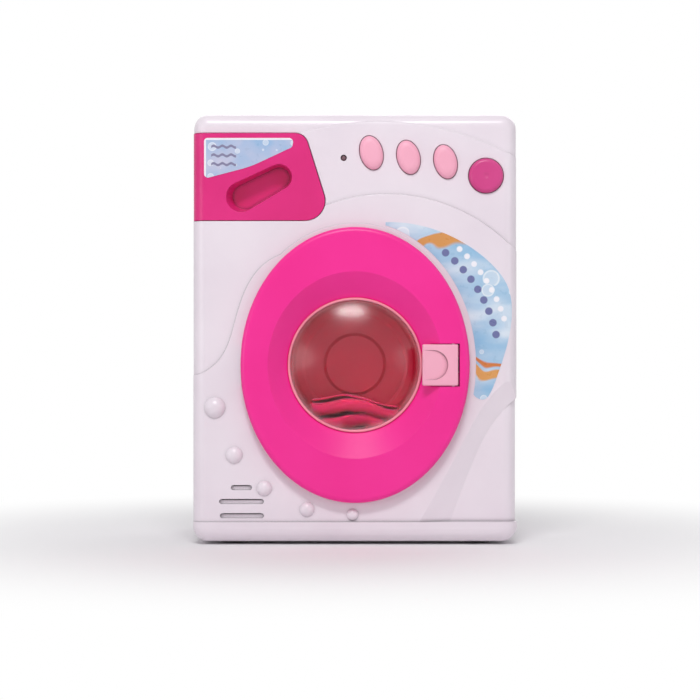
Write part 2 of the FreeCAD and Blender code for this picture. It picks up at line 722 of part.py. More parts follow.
def rear_shell():
    inner = BODY_D - WALL / 2
    bay_half = BAY_HALF_W + BAY_WALL
    bay_bottom = BAY_FLOOR_Z - BAY_WALL
    bay_top = BAY_TOP_Z + BAY_WALL
    inside = [
        block(-bay_half, bay_half, BAY_DEPTH - BAY_WALL, inner, bay_bottom, bay_top),
        rod(0.0, COVER_SCREW_Z, BAY_DEPTH, inner, COLUMN_R),
    ]
    inside += [column(x, z, SPLIT, inner, COLUMN_R, inner) for x, z in COLUMNS]
    inside += [rod(x, z, COVER_BACK, inner, COLUMN_R) for x, z in CASE_POSTS]
    body = body_block(0.0).common(block(-BODY_W, BODY_W, SPLIT, BODY_D + FAR, -FAR, BODY_TOP + FAR))
    body = body.cut(body_block(WALL, -WALL).cut(inside))
    body = body.fuse(rim_band(-WALL / 2, FIT + LIP_T, SPLIT, SPLIT + LIP_REACH))
    lip = rim_band(FIT, FIT + LIP_T, SPLIT - LIP_REACH, SPLIT)
    body = body.fuse(lip.cut([rod(x, z, 0.0, SPLIT, COLUMN_R + FIT) for x, z in COLUMNS]))
    tongue_half = TONGUE_W / 2 + CLEAR
    ledge_half = BAY_HALF_W + COVER_LEDGE
    cuts = [
        block(-BAY_HALF_W, BAY_HALF_W, BAY_DEPTH, BODY_D + 1, BAY_FLOOR_Z, BAY_TOP_Z),
        block(-ledge_half, ledge_half, COVER_FACE, BODY_D + 1, BAY_FLOOR_Z - COVER_LEDGE, COVER_TOP_Z),
        block(-tongue_half, tongue_half, COVER_FACE - WALL - TONGUE_T, COVER_FACE,
              BAY_FLOOR_Z - TONGUE_REACH - CLEAR, BAY_FLOOR_Z),
        pilot(0.0, COVER_SCREW_Z, BODY_D, COVER_SCREW_L, SMALL_SCREW_R, SMALL_HEAD_T),
    ]
    for x, z in COLUMNS:
        cuts.append(pilot(x, z, case_head_depth(), CASE_SCREW_L, SCREW_R + FIT, SCREW_HEAD_T))
        cuts.append(rod(x, z, SPLIT + WALL, BODY_D + 1, SCREW_HEAD_R + FIT))
    for x, z in CASE_POSTS:
        cuts.append(rod(x, z, COVER_BACK - 1, COVER_BACK + GEAR_SCREW_L, SMALL_SCREW_R + PILOT_CLEAR))
    cuts += foot_recesses()
    return body.cut(cuts)


def case_screws():
    size = (CASE_SCREW_L, SCREW_R, SCREW_HEAD_R, SCREW_HEAD_T)
    return Part.makeCompound([screw(x, z, case_head_depth(), *size) for x, z in COLUMNS])


def foot_pads():
    pads = []
    for x, d in FEET:
        pad = upright(x, d, 0.0, FOOT_H + FOOT_SINK, FOOT_R)
        rim = [e for e in pad.Edges if e.BoundBox.ZMax < FOOT_H / 2]
        pads.append(pad.makeFillet(FOOT_H / 3, rim))
    return Part.makeCompound(pads)


def retainer_holes():
    radius = (FLANGE_R + BOSS_R) / 2
    return [polar(DOOR_X, DOOR_Z, radius, 45 + i * 360 / RETAINER_SCREWS) for i in range(RETAINER_SCREWS)]


def handle_pocket():
    """Room in the door for the handle, its swing and the stroke of its leg."""
    half = HANDLE_H / 2 + GAP
    swing = math.radians(HANDLE_SWING)
    floor = HANDLE_BACK + HANDLE_PIN_INSET * math.sin(swing) + CLEAR
    right = HANDLE_X1 + 3 * CLEAR
    pocket = block(DOOR_X, right, -FAR, floor, DOOR_Z - half, DOOR_Z + half)
    leg_half = LEG_H / 2 + CLEAR
    reach = (RETAINER_BACK - HANDLE_PIN_DEPTH) * math.sin(swing)
    leg_x0 = HANDLE_PIN_X - LEG_W / 2 - reach - CLEAR
    leg_x1 = HANDLE_PIN_X + LEG_W / 2 + HOOK_REACH + CLEAR
    return pocket.fuse(block(leg_x0, leg_x1, -FAR, FAR, DOOR_Z - leg_half, DOOR_Z + leg_half))


def hinge_notch():
    """Room in the door's rim for the lug of the cabinet over the whole swing."""
    low = DOOR_Z - HINGE_H / 2 - GAP
    high = DOOR_Z + HINGE_H / 2 + GAP
    radius = HINGE_BARREL_R + CLEAR
    quarter = block(HINGE_X - FAR, HINGE_X + radius, HINGE_DEPTH - CLEAR, FAR, low, high)
    past = turned(quarter, HINGE_X, HINGE_DEPTH, DOOR_SWING - 90)
    past = past.common(block(HINGE_X - FAR, HINGE_X, -FAR, FAR, low, high))
    return fuse([upright(HINGE_X, HINGE_DEPTH, low, high, radius), quarter, past])


def door_frame():
    rim = oval_plug(DOOR_X, DOOR_Z, DOOR_HALF_W, DOOR_HALF_H, DOOR_FRONT, DOOR_BACK)
    rim = rim.makeFillet(DOOR_RIM_R, edges_at_depth(rim, DOOR_FRONT) + edges_at_depth(rim, DOOR_BACK))
    side = DOOR_HALF_W - DOOR_SKIN - DOOR_RIM_R
    tall = DOOR_HALF_H - DOOR_SKIN - DOOR_RIM_R
    hollow = oval_plug(DOOR_X, DOOR_Z, side, tall, DOOR_FRONT + DOOR_SKIN, FAR)
    wide = DOOR_HALF_W - FUNNEL_HALF_W
    keep_z = HINGE_PIN_H / 2 + DOOR_SKIN
    hollow = hollow.cut([
        oval_plug(DOOR_X, DOOR_Z, FUNNEL_HALF_W + DOOR_SKIN, FUNNEL_HALF_H + DOOR_SKIN, -FAR, FAR),
        block(-BODY_W, HINGE_X + wide / 2, -FAR, FAR, DOOR_Z - keep_z, DOOR_Z + keep_z),
        block(DOOR_X, BODY_W, -FAR, FAR, DOOR_Z - keep_z, DOOR_Z + keep_z),
    ])
    seat_back = WINDOW_SEAT + FLANGE_T
    body = fuse([rim.cut(hollow), rod(DOOR_X, DOOR_Z, DOOR_FRONT + DOOR_SKIN, seat_back, BOSS_R)])
    spread = 1.0 / FUNNEL_DEPTH
    front = oval(DOOR_X, DOOR_Z, FUNNEL_HALF_W + (FUNNEL_HALF_W - WINDOW_R) * spread,
                 FUNNEL_HALF_H + (FUNNEL_HALF_H - WINDOW_R) * spread, DOOR_FRONT - 1)
    funnel = loft([front, oval(DOOR_X, DOOR_Z, WINDOW_R, WINDOW_R, WINDOW_SEAT)])
    low = DOOR_Z - HINGE_PIN_H / 2
    pin_low = DOOR_Z - HANDLE_H / 2 - 2 * DOOR_SKIN
    pin_high = DOOR_Z + HANDLE_H / 2 + 2 * DOOR_SKIN
    cuts = [
        funnel,
        rod(DOOR_X, DOOR_Z, WINDOW_SEAT - CLEAR, FAR, WINDOW_R),
        rod(DOOR_X, DOOR_Z, WINDOW_SEAT, FAR, FLANGE_R + FIT),
        hinge_notch(),
        upright(HINGE_X, HINGE_DEPTH, low, low + HINGE_PIN_H, HINGE_PIN_R),
        handle_pocket(),
        upright(HANDLE_PIN_X, HANDLE_PIN_DEPTH, pin_low, pin_high, HANDLE_PIN_R),
    ]
    cuts += [screw_hole(x, z, RETAINER_BACK) for x, z in retainer_holes()]
    return body.cut(cuts)


def door_hinge_pin():
    low = DOOR_Z - HINGE_PIN_H / 2
    return upright(HINGE_X, HINGE_DEPTH, low, low + HINGE_PIN_H, HINGE_PIN_R)


def window():
    """Clear dome that bulges to the front, with a flange behind the door's funnel."""
    base_r = WINDOW_R - GASKET_W - CLEAR
    ball_r = (base_r ** 2 + WINDOW_RISE ** 2) / (2 * WINDOW_RISE)
    centre = WINDOW_SEAT - WINDOW_RISE + ball_r
    inner_r = ball_r - WINDOW_T
    back = WINDOW_SEAT + FLANGE_T
    inner_base = math.sqrt(inner_r ** 2 - (centre - back) ** 2)

    def on_ball(radius, r):
        return at(DOOR_X + r, centre - math.sqrt(radius ** 2 - r ** 2), DOOR_Z)

    corners = [on_ball(ball_r, base_r), at(DOOR_X + FLANGE_R, WINDOW_SEAT, DOOR_Z),
               at(DOOR_X + FLANGE_R, back, DOOR_Z), on_ball(inner_r, inner_base)]
    outer = Part.Arc(on_ball(ball_r, 0), on_ball(ball_r, base_r / 2), corners[0]).toShape()
    inner = Part.Arc(corners[-1], on_ball(inner_r, inner_base / 2), on_ball(inner_r, 0)).toShape()
    axis = Part.makeLine(on_ball(inner_r, 0), on_ball(ball_r, 0))
    section = Part.Wire([outer] + Part.makePolygon(corners).Edges + [inner, axis])
    return Part.Face(section).revolve(at(DOOR_X, 0, DOOR_Z), BACKWARD, 360)


def window_gasket():
    inner = WINDOW_R - GASKET_W
    ring = pipe(DOOR_X, DOOR_Z, WINDOW_SEAT - GASKET_H, WINDOW_SEAT, WINDOW_R - RUN, inner)
    rims = edges_at_depth(ring, WINDOW_SEAT - GASKET_H)
    return ring.makeFillet(GASKET_W / 3, rims)


def window_retainer():
    ring = pipe(DOOR_X, DOOR_Z, WINDOW_SEAT + FLANGE_T, RETAINER_BACK, BOSS_R, WINDOW_R)
    return ring.cut([screw_hole(x, z, RETAINER_BACK) for x, z in retainer_holes()])


def retainer_screws():
    return Part.makeCompound([small_screw(x, z, RETAINER_BACK) for x, z in retainer_holes()])


def door_handle():
    low = DOOR_Z - HANDLE_H / 2
    body = block(HANDLE_X0, HANDLE_X1, HANDLE_FRONT, HANDLE_BACK, low, low + HANDLE_H)
    body = body.makeFillet(HANDLE_EDGE_R, body.Edges)
    bow_x = HANDLE_X0 + SCOOP_LENGTH - SCOOP_H / 2 + 1
    over = HANDLE_FRONT - FAR
    scoop_half = SCOOP_H / 2
    scoop = fuse([
        rod(bow_x, DOOR_Z, over, HANDLE_FRONT, scoop_half),
        block(HANDLE_X0 + 1, bow_x, over, HANDLE_FRONT, DOOR_Z - scoop_half, DOOR_Z + scoop_half),
    ])
    scoop = turned(scoop, HANDLE_X0 + 1, HANDLE_FRONT, SCOOP_SLOPE)
    leg_x0 = HANDLE_PIN_X - LEG_W / 2
    leg_back = HANDLE_BACK + LEG_REACH
    leg_low = DOOR_Z - LEG_H / 2
    leg = block(leg_x0, leg_x0 + LEG_W, HANDLE_BACK - 1, leg_back, leg_low, leg_low + LEG_H)
    hook = block(leg_x0, leg_x0 + LEG_W + HOOK_REACH, leg_back - HOOK_T, leg_back, leg_low, leg_low + LEG_H)
    body = fuse([body.cut(scoop), leg, hook])
    return body.cut(upright(HANDLE_PIN_X, HANDLE_PIN_DEPTH, low - 1, low + HANDLE_H + 1, HANDLE_PIN_R + RUN))


def handle_pin():
    pin_low = DOOR_Z - HANDLE_H / 2 - 2 * DOOR_SKIN
    return upright(HANDLE_PIN_X, HANDLE_PIN_DEPTH, pin_low, 2 * DOOR_Z - pin_low, HANDLE_PIN_R)


def capsule(ends, depth, grow):
    """Edges round two circles of different size: two arcs and two tangent lines."""
    (x0, z0, r0), (x1, z1, r1) = ends
    heading = math.degrees(math.atan2(z1 - z0, x1 - x0))
    spread = math.degrees(math.acos((r0 - r1) / math.hypot(x1 - x0, z1 - z0)))
    big = [polar(x0, z0, r0 + grow, heading + a) for a in (spread, 180, -spread)]
    small = [polar(x1, z1, r1 + grow, heading + a) for a in (-spread, 0, spread)]
    big = [at(x, depth, z) for x, z in big]
    small = [at(x, depth, z) for x, z in small]
    return [
        Part.Arc(*big).toShape(), Part.makeLine(big[2], small[0]),
        Part.Arc(*small).toShape(), Part.makeLine(small[2], big[0]),
    ]


def grip(grow):
    """Scoop for the fingers in the drawer front, let out by its wall where grow is set."""
    top = -DRAWER_UP if grow else -DRAWER_UP - RUN
    return ruled_solid(capsule(GRIP_ENDS, top, grow), capsule(GRIP_FLOOR, GRIP_DEPTH + grow, grow))


def drawer_front():
    skin = raised_block(DRAWER_UP).cut(body_block(DRAWER_T - DRAWER_UP, -DRAWER_T))
    skin = skin.common(plate(drawer_corners(0.0), -FAR, DRAWER_WRAP))
    back = DRAWER_T / 2 - DRAWER_UP
    posts = [rod(x, z, back, TRAY_FRONT, POST_R) for x, z in DRAWER_POSTS]
    cuts = [grip(0.0)] + [screw_hole(x, z, TRAY_FRONT + TRAY_WALL) for x, z in DRAWER_POSTS]
    return fuse([skin, grip(GRIP_WALL)] + posts).cut(cuts)


def drawer_tray():
    body = block(TRAY_X0, TRAY_X1, TRAY_FRONT, TRAY_BACK, TRAY_FLOOR, TRAY_RIM)
    d0 = TRAY_FRONT + TRAY_WALL
    d1 = TRAY_BACK - TRAY_WALL
    floor = TRAY_FLOOR + TRAY_WALL
    half = TRAY_WALL / 2
    rooms = ((TRAY_X0 + TRAY_WALL, TRAY_DIVIDER_X - half), (TRAY_DIVIDER_X + half, TRAY_X1 - TRAY_WALL))
    cuts = [block(x0, x1, d0, d1, floor, TRAY_RIM + 1) for x0, x1 in rooms]
    cuts += [screw_hole(x, z, TRAY_FRONT + TRAY_WALL) for x, z in DRAWER_POSTS]
    stops = []
    for x0 in (TRAY_X0, TRAY_X1 - TRAY_WALL):
        back = STOP_FRONT + STOP_T
        stops.append(block(x0, x0 + TRAY_WALL, STOP_FRONT, back, TRAY_RIM - 1, TRAY_RIM + STOP_H))
    return fuse([body.cut(cuts)] + stops)


def drawer_screws():
    return Part.makeCompound([small_screw(x, z, TRAY_FRONT + TRAY_WALL) for x, z in DRAWER_POSTS])


def drawer_sleeve():
    """Box that the tray slides in, with a stop at each front corner for the tray's own stops."""
    side = CLEAR + SLEEVE_WALL
    low = TRAY_FLOOR - side
    outer = block(TRAY_X0 - side, TRAY_X1 + side, SLEEVE_FRONT, SLEEVE_BACK, low, SLEEVE_TOP + SLEEVE_WALL)
    room = block(TRAY_X0 - CLEAR, TRAY_X1 + CLEAR, -FAR, TRAY_BACK + CLEAR, TRAY_FLOOR - CLEAR, SLEEVE_TOP)
    for x0 in (TRAY_X0 - CLEAR, TRAY_X1 - TRAY_WALL):
        x1 = x0 + CLEAR + TRAY_WALL
        room = room.cut(block(x0, x1, SLEEVE_FRONT, SLEEVE_FRONT + STOP_T, TRAY_RIM + CLEAR, SLEEVE_TOP))
    holes = [upright(x, d, SLEEVE_TOP - 1, BODY_TOP, SMALL_SCREW_R + PILOT_CLEAR) for x, d in sleeve_posts()]
    return outer.cut([room] + holes)


def sleeve_screws():
    screws = []
    for x, d in sleeve_posts():
        head = upright(x, d, SLEEVE_TOP - SMALL_HEAD_T, SLEEVE_TOP, SMALL_HEAD_R)
        shank = upright(x, d, SLEEVE_TOP, SLEEVE_TOP + SMALL_SCREW_L - 1, SMALL_SCREW_R)
        screws.append(head.fuse(shank))
    return Part.makeCompound(screws)


def domed_cap(x, z, radius, rise):
    """Round push button: domed cap, flange behind the panel and a stem."""
    front = -PANEL_UP
    cap = rod(x, z, front - rise, WALL + CLEAR, radius)
    cap = cap.makeFillet(rise * DOME_SHARE, edges_at_depth(cap, front - rise))
    flange_back = WALL + CLEAR + BUTTON_FLANGE_T
    flange = rod(x, z, WALL + CLEAR, flange_back, radius + BUTTON_FLANGE)
    stem = rod(x, z, flange_back, STEM_REACH, STEM_R)
    return fuse([cap, flange, stem])


def oval_button(x, z):
    """Leaning oval button, made round and stretched, on a round stem."""
    cap = domed_cap(0.0, 0.0, BUTTON_HALF_W, BUTTON_RISE)
    stretch = Matrix()
    stretch.scale(1.0, 1.0, BUTTON_HALF_H / BUTTON_HALF_W)
    cap = cap.transformGeometry(stretch)
    cap.rotate(Vector(), BACKWARD, BUTTON_LEAN)
    cap.translate(Vector(x, 0, z))
    return cap


def power_button():
    cap = domed_cap(POWER_X, POWER_Z, POWER_R, POWER_RISE)
    ball_r = POWER_R / 2
    dimple = Part.makeSphere(ball_r, at(POWER_X, -PANEL_UP - POWER_RISE - ball_r + CLEAR, POWER_Z))
    return cap.cut(dimple)


def switch_places():
    return [(name, x, z) for name, x, z in BUTTONS] + [("power", POWER_X, POWER_Z)]


def switch_plunger(x, z):
    return rod(x, z, STEM_REACH, BOARD_DEPTH - BUTTON_TRAVEL - CLEAR, PLUNGER_R)


def switches():
    half = SWITCH_SIZE / 2
    bodies = []
    for name, x, z in switch_places():
        body = block(x - half, x + half, SWITCH_FRONT, BOARD_DEPTH, z - half, z + half)
        bodies.append(body.cut(rod(x, z, SWITCH_FRONT - 1, BOARD_DEPTH - CLEAR / 2, PLUNGER_R + RUN)))
    return Part.makeCompound(bodies)


def control_board():
    corners = ((BOARD_X0, BOARD_Z0), (BOARD_X1, BOARD_Z0), (BOARD_X1, BOARD_Z1), (BOARD_X0, BOARD_Z1))
    board = plate([(x, z, POST_R) for x, z in corners], BOARD_DEPTH, BOARD_DEPTH + BOARD_T)
    return board.cut([screw_hole(x, z, BOARD_DEPTH + BOARD_T) for x, z in BOARD_POSTS])


def board_screws():
    return Part.makeCompound([small_screw(x, z, BOARD_DEPTH + BOARD_T) for x, z in BOARD_POSTS])


def sound_chip():
    x, z = (BOARD_X0 + BOARD_X1) / 2, (BOARD_Z0 + BOARD_Z1) / 2
    back = BOARD_DEPTH + BOARD_T
    return cone(x, z, back, SWITCH_SIZE, back + BOARD_T, SWITCH_SIZE / 2)


def status_lamp():
    tip = PANEL_UP / 2
    body = rod(LED_X, LED_Z, -tip, WALL + POST_R, LED_R)
    body = body.makeFillet(LED_R * DOME_SHARE, edges_at_depth(body, -tip))
    legs = [rod(LED_X + s * LED_R / 2, LED_Z, WALL + POST_R, BOARD_DEPTH, LED_R / 5) for s in (-1, 1)]
    return fuse([body] + legs)


def speaker_basket():
    back = SPEAKER_BACK
    inner = SPEAKER_R - 2 * CLAMP_T
    return lathe(SPEAKER_X, SPEAKER_Z, (
        (SPEAKER_R, WALL), (SPEAKER_R, back), (inner - CLEAR, back), (MAGNET_R, back + CLAMP_T),
        (MAGNET_R, back + MAGNET_T), (0.0, back + MAGNET_T), (0.0, back), (MAGNET_R, back),
        (inner, WALL + CLAMP_T), (inner, WALL),
    ))


def speaker_cone():
    rim = SPEAKER_R - 2 * CLAMP_T - CLEAR
    depth = WALL + CLAMP_T
    deep = SPEAKER_BACK - CLAMP_T
    sheet = CLAMP_T / 3
    return lathe(SPEAKER_X, SPEAKER_Z, (
        (rim, depth - sheet), (rim, depth), (MAGNET_R / 2, deep), (0.0, deep), (0.0, deep - sheet),
        (MAGNET_R / 2, deep - sheet),
    ))


def speaker_clamp():
    """Ring over the back of the basket's rim, with an ear at each post."""
    back = SPEAKER_BACK + CLAMP_T
    ring = rod(SPEAKER_X, SPEAKER_Z, SPEAKER_BACK, back, SPEAKER_R)
    ears = [rod(x, z, SPEAKER_BACK, back, POST_R) for x, z in speaker_posts()]
    arms = []
    for angle in SPEAKER_POST_ANGLES:
        reach = SPEAKER_R + SPEAKER_POST_OUT
        arm = block(SPEAKER_X, SPEAKER_X + reach, SPEAKER_BACK, back, SPEAKER_Z - POST_R, SPEAKER_Z + POST_R)
        arms.append(spun(arm, SPEAKER_X, SPEAKER_Z, angle))
    opening = rod(SPEAKER_X, SPEAKER_Z, WALL, FAR, SPEAKER_R - 2 * CLAMP_T)
    pilots = [screw_hole(x, z, back) for x, z in speaker_posts()]
    return fuse([ring] + ears + arms).cut([opening] + pilots)


def speaker_screws():
    return Part.makeCompound([small_screw(x, z, SPEAKER_BACK + CLAMP_T) for x, z in speaker_posts()])


def drum():
    """Open drum with a mouth lip, a raised back disc, paddles and rows of holes."""
    inner = DRUM_R - DRUM_WALL
    back = DRUM_BACK - DRUM_WALL
    shell = lathe(DOOR_X, DOOR_Z, (
        (DRUM_MOUTH_R, DRUM_FRONT), (DRUM_R - 2 * DRUM_WALL, DRUM_FRONT),
        (DRUM_R, DRUM_FRONT + 2 * DRUM_WALL),
        (DRUM_R, DRUM_BACK), (0.0, DRUM_BACK), (0.0, back - DRUM_WALL), (DRUM_DISC_R, back - DRUM_WALL),
        (DRUM_DISC_R + DRUM_WALL, back), (DRUM_RING_R, back), (DRUM_RING_R + DRUM_WALL, back - DRUM_WALL / 2),
        (DRUM_RING_R + 3 * DRUM_WALL, back - DRUM_WALL / 2), (DRUM_RING_R + 4 * DRUM_WALL, back),
        (inner, back),
        (inner, DRUM_FRONT + 3 * DRUM_WALL), (DRUM_MOUTH_R, DRUM_FRONT + DRUM_WALL),
    ))
    foot = DOOR_Z + inner + DRUM_WALL / 2 - 1
    crest = DOOR_Z + inner - PADDLE_H
    paddle_corners = (
        (DOOR_X - PADDLE_W / 2, foot, PADDLE_FOOT_R), (DOOR_X + PADDLE_W / 2, foot, PADDLE_FOOT_R),
        (DOOR_X + PADDLE_CREST_W / 2, crest, PADDLE_CREST_R),
        (DOOR_X - PADDLE_CREST_W / 2, crest, PADDLE_CREST_R),
    )
    paddle = plate(paddle_corners, DRUM_FRONT + 4 * DRUM_WALL, DRUM_BACK - DRUM_WALL / 2)
    paddles = [spun(paddle, DOOR_X, DOOR_Z, 360 / PADDLES * i) for i in range(PADDLES)]
    hub_back = CASE_FRONT - 2 * BUSH_FLANGE
    hub = rod(DOOR_X, DOOR_Z, DRUM_BACK - 1, hub_back, HUB_R)
    cuts = [rod(DOOR_X, DOOR_Z, DRUM_BACK - DRUM_WALL, FAR * 6, SHAFT_R)]
    pitch = (DRUM_BACK - DRUM_FRONT) / (DRUM_HOLE_ROWS + 1)
    for row in range(DRUM_HOLE_ROWS):
        depth = DRUM_FRONT + pitch * (row + 1)
        hole = upright(DOOR_X, depth, DOOR_Z + inner - 1, DOOR_Z + DRUM_R + 1, DRUM_HOLE_R)
        for index in range(DRUM_HOLE_COLUMNS):
            if index % (DRUM_HOLE_COLUMNS // PADDLES):
                cuts.append(spun(hole, DOOR_X, DOOR_Z, index * 360 / DRUM_HOLE_COLUMNS))
    return fuse([shell, hub] + paddles).cut(cuts)


def drum_shaft():
    return rod(DOOR_X, DOOR_Z, DRUM_BACK - DRUM_WALL, COVER_BACK, SHAFT_R)


def bush(d0, d1, flange_depth):
    """Plain bearing in a wall from d0 to d1, with a flange on the side that faces the drum."""
    outer = SHAFT_R + BUSH_WALL
    sleeve = rod(DOOR_X, DOOR_Z, d0, d1, outer)
    flange = rod(DOOR_X, DOOR_Z, flange_depth - BUSH_FLANGE, flange_depth, outer + BUSH_WALL)
    return sleeve.fuse(flange).cut(rod(DOOR_X, DOOR_Z, 0.0, BODY_D, SHAFT_R + RUN))


def shaft_bushes():
    front = bush(CASE_FRONT, CASE_FRONT + CASE_WALL, CASE_FRONT)
    return Part.makeCompound([front, bush(COVER_FRONT, COVER_BACK, COVER_FRONT)])


def gear(x, z, d0, d1, teeth, module, facing):
    """Spur gear with involute flanks; the middle of one tooth faces the given angle."""
    pitch_r = module * teeth / 2
    slope = math.radians(GEAR_SLOPE)
    base_r = pitch_r * math.cos(slope)
    tip_r = pitch_r + module
    root_r = pitch_r - GEAR_ROOT * module
    thick = math.pi / 2 / teeth - GEAR_BACKLASH / 4 / pitch_r + math.tan(slope) - slope
    start_r = max(base_r, root_r)
    flank = []
    for step in range(FLANK_STEPS + 1):
        radius = start_r + (tip_r - start_r) * step / FLANK_STEPS
        roll = math.acos(min(1.0, base_r / radius))
        flank.append((radius, thick - math.tan(roll) + roll))
    if root_r < base_r:
        flank.insert(0, (root_r, flank[0][1]))
    points = []
    for tooth in range(teeth):
        middle = facing + 360 / teeth * tooth
        for radius, half in flank:
            points.append(polar(x, z, radius, middle - math.degrees(half)))
        for radius, half in reversed(flank):
            points.append(polar(x, z, radius, middle + math.degrees(half)))
    wire = Part.makePolygon([at(px, d0, pz) for px, pz in points + points[:1]])
    return Part.Face(wire).extrude(Vector(0, d1 - d0, 0))


def meshing(angle):
    """Facing of a pinion's tooth so that a gap meets the wheel's tooth at the angle."""
    return angle + 180 + 180 / PINION_TEETH


def drum_gear():
    wheel = gear(DOOR_X, DOOR_Z, SLOW_FRONT, SLOW_BACK, WHEEL_TEETH, SLOW_MODULE, SLOW_ANGLE)
    hub = rod(DOOR_X, DOOR_Z, SLOW_FRONT, FAST_BACK, HUB_R)
    return wheel.fuse(hub).cut(rod(DOOR_X, DOOR_Z, 0.0, BODY_D, SHAFT_R))


def reduction_gear():
    slow = gear(AXLE_X, AXLE_Z, SLOW_FRONT, FAST_FRONT, PINION_TEETH, SLOW_MODULE, meshing(SLOW_ANGLE))
    fast = gear(AXLE_X, AXLE_Z, FAST_FRONT, FAST_BACK, WHEEL_TEETH, FAST_MODULE, FAST_ANGLE)
    return slow.fuse(fast).cut(rod(AXLE_X, AXLE_Z, 0.0, BODY_D, AXLE_R + RUN))


def reduction_axle():
    return rod(AXLE_X, AXLE_Z, CASE_FRONT, COVER_BACK, AXLE_R)


def motor_pinion():
    teeth = gear(MOTOR_X, MOTOR_Z, FAST_FRONT, FAST_BACK, PINION_TEETH, FAST_MODULE, meshing(FAST_ANGLE))
    return teeth.cut(rod(MOTOR_X, MOTOR_Z, 0.0, BODY_D, MOTOR_SHAFT_R))


def motor_form(d0, d1, grow):
    half = MOTOR_FLAT / 2 + grow
    radius = MOTOR_R + grow
    slab = block(MOTOR_X - radius, MOTOR_X + radius, d0, d1, MOTOR_Z - half, MOTOR_Z + half)
    return rod(MOTOR_X, MOTOR_Z, d0, d1, radius).common(slab)


def motor_can():
    body = motor_form(COVER_BACK, MOTOR_BACK - CASE_WALL, 0.0)
    room = motor_form(COVER_BACK + MOTOR_WALL, MOTOR_BACK, -MOTOR_WALL)
    return body.cut([room, rod(MOTOR_X, MOTOR_Z, 0.0, BODY_D, MOTOR_SHAFT_R + RUN)])


def motor_end_cap():
    cap = motor_form(MOTOR_BACK - CASE_WALL, MOTOR_BACK, 0.0)
    return cap.cut(rod(MOTOR_X, MOTOR_Z, 0.0, MOTOR_BACK - CASE_WALL / 2, MOTOR_SHAFT_R + RUN))


def motor_rotor():
    shaft = rod(MOTOR_X, MOTOR_Z, FAST_FRONT, MOTOR_BACK - CASE_WALL / 2 - CLEAR, MOTOR_SHAFT_R)
    margin = 2 * CASE_WALL
    armature = rod(MOTOR_X, MOTOR_Z, COVER_BACK + margin, MOTOR_BACK - CASE_WALL - margin, ARMATURE_R)
    return shaft.fuse(armature)


def gear_holes():
    bush_r = SHAFT_R + BUSH_WALL
    holes = [rod(DOOR_X, DOOR_Z, 0.0, BODY_D, bush_r), rod(AXLE_X, AXLE_Z, 0.0, BODY_D, AXLE_R)]
    return holes + [rod(x, z, 0.0, BODY_D, SMALL_SCREW_R + PILOT_CLEAR) for x, z in CASE_POSTS]


def case_corners(inset):
    radius = CASE_EAR - inset / 2
    xs = (CASE_X0 + inset, CASE_X1 - inset)
    zs = (CASE_Z0 + inset, CASE_Z1 - inset)
    return ((xs[0], zs[0], radius), (xs[1], zs[0], radius), (xs[1], zs[1], radius), (xs[0], zs[1], radius))


def gear_case():
    body = plate(case_corners(0.0), CASE_FRONT, COVER_FRONT)
    room = plate(case_corners(CASE_WALL), CASE_FRONT + CASE_WALL, COVER_FRONT + 1)
    room = room.cut([rod(x, z, 0.0, BODY_D, CASE_EAR) for x, z in CASE_POSTS])
    wells = [rod(x, z, 0.0, COVER_FRONT - CASE_WALL, SMALL_HEAD_R + FIT) for x, z in CASE_POSTS]
    return body.cut([room] + gear_holes() + wells)


def gear_cover():
    sheet = plate(case_corners(0.0), COVER_FRONT, COVER_BACK)
    socket = motor_form(COVER_BACK, (COVER_BACK + MOTOR_BACK) / 2, FIT + CASE_WALL)
    socket = socket.cut(motor_form(COVER_BACK, MOTOR_BACK, FIT))
    body = sheet.fuse(socket)
    return body.cut(gear_holes() + [rod(MOTOR_X, MOTOR_Z, 0.0, BODY_D, 2 * MOTOR_SHAFT_R)])


def gear_case_screws():
    screws = []
    seat = COVER_FRONT - CASE_WALL
    for x, z in CASE_POSTS:
        head = rod(x, z, seat - SMALL_HEAD_T, seat, SMALL_HEAD_R)
        shank = rod(x, z, seat, COVER_BACK + GEAR_SCREW_L - 1, SMALL_SCREW_R)
        screws.append(head.fuse(shank))
    return Part.makeCompound(screws)


def cell_places():
    return [(index - (CELLS - 1) / 2) * CELL_PITCH for index in range(CELLS)]


def cells():
    depth = COVER_FACE - CELL_R - CLEAR
    low = BAY_FLOOR_Z + CONTACT_T + CONTACT_REACH
    bodies = []
    for x in cell_places():
        can = upright(x, depth, low, low + CELL_L, CELL_R)
        bodies.append(can.fuse(upright(x, depth, low + CELL_L, low + CELL_L + CELL_NUB_H, CELL_NUB_R)))
    return Part.makeCompound(bodies)


def battery_contacts():
    """Bent leaf under and over each cell: a sheet on the bay's wall and a foot on the cell."""
    depth = COVER_FACE - CELL_R - CLEAR
    half = CELL_R / 2
    leaves = []
    for x in cell_places():
        for wall_z, way in ((BAY_FLOOR_Z, 1), (BAY_TOP_Z, -1)):
            levels = sorted((wall_z, wall_z + way * CONTACT_T))
            reach = sorted((wall_z, wall_z + way * (CONTACT_T + CONTACT_REACH)))
            sheet = block(x - half, x + half, depth - half, depth + half, *levels)
            foot = block(x - half / 2, x + half / 2, depth - half / 2, depth + half / 2, *reach)
            leaves.append(sheet.fuse(foot))
    return Part.makeCompound(leaves)


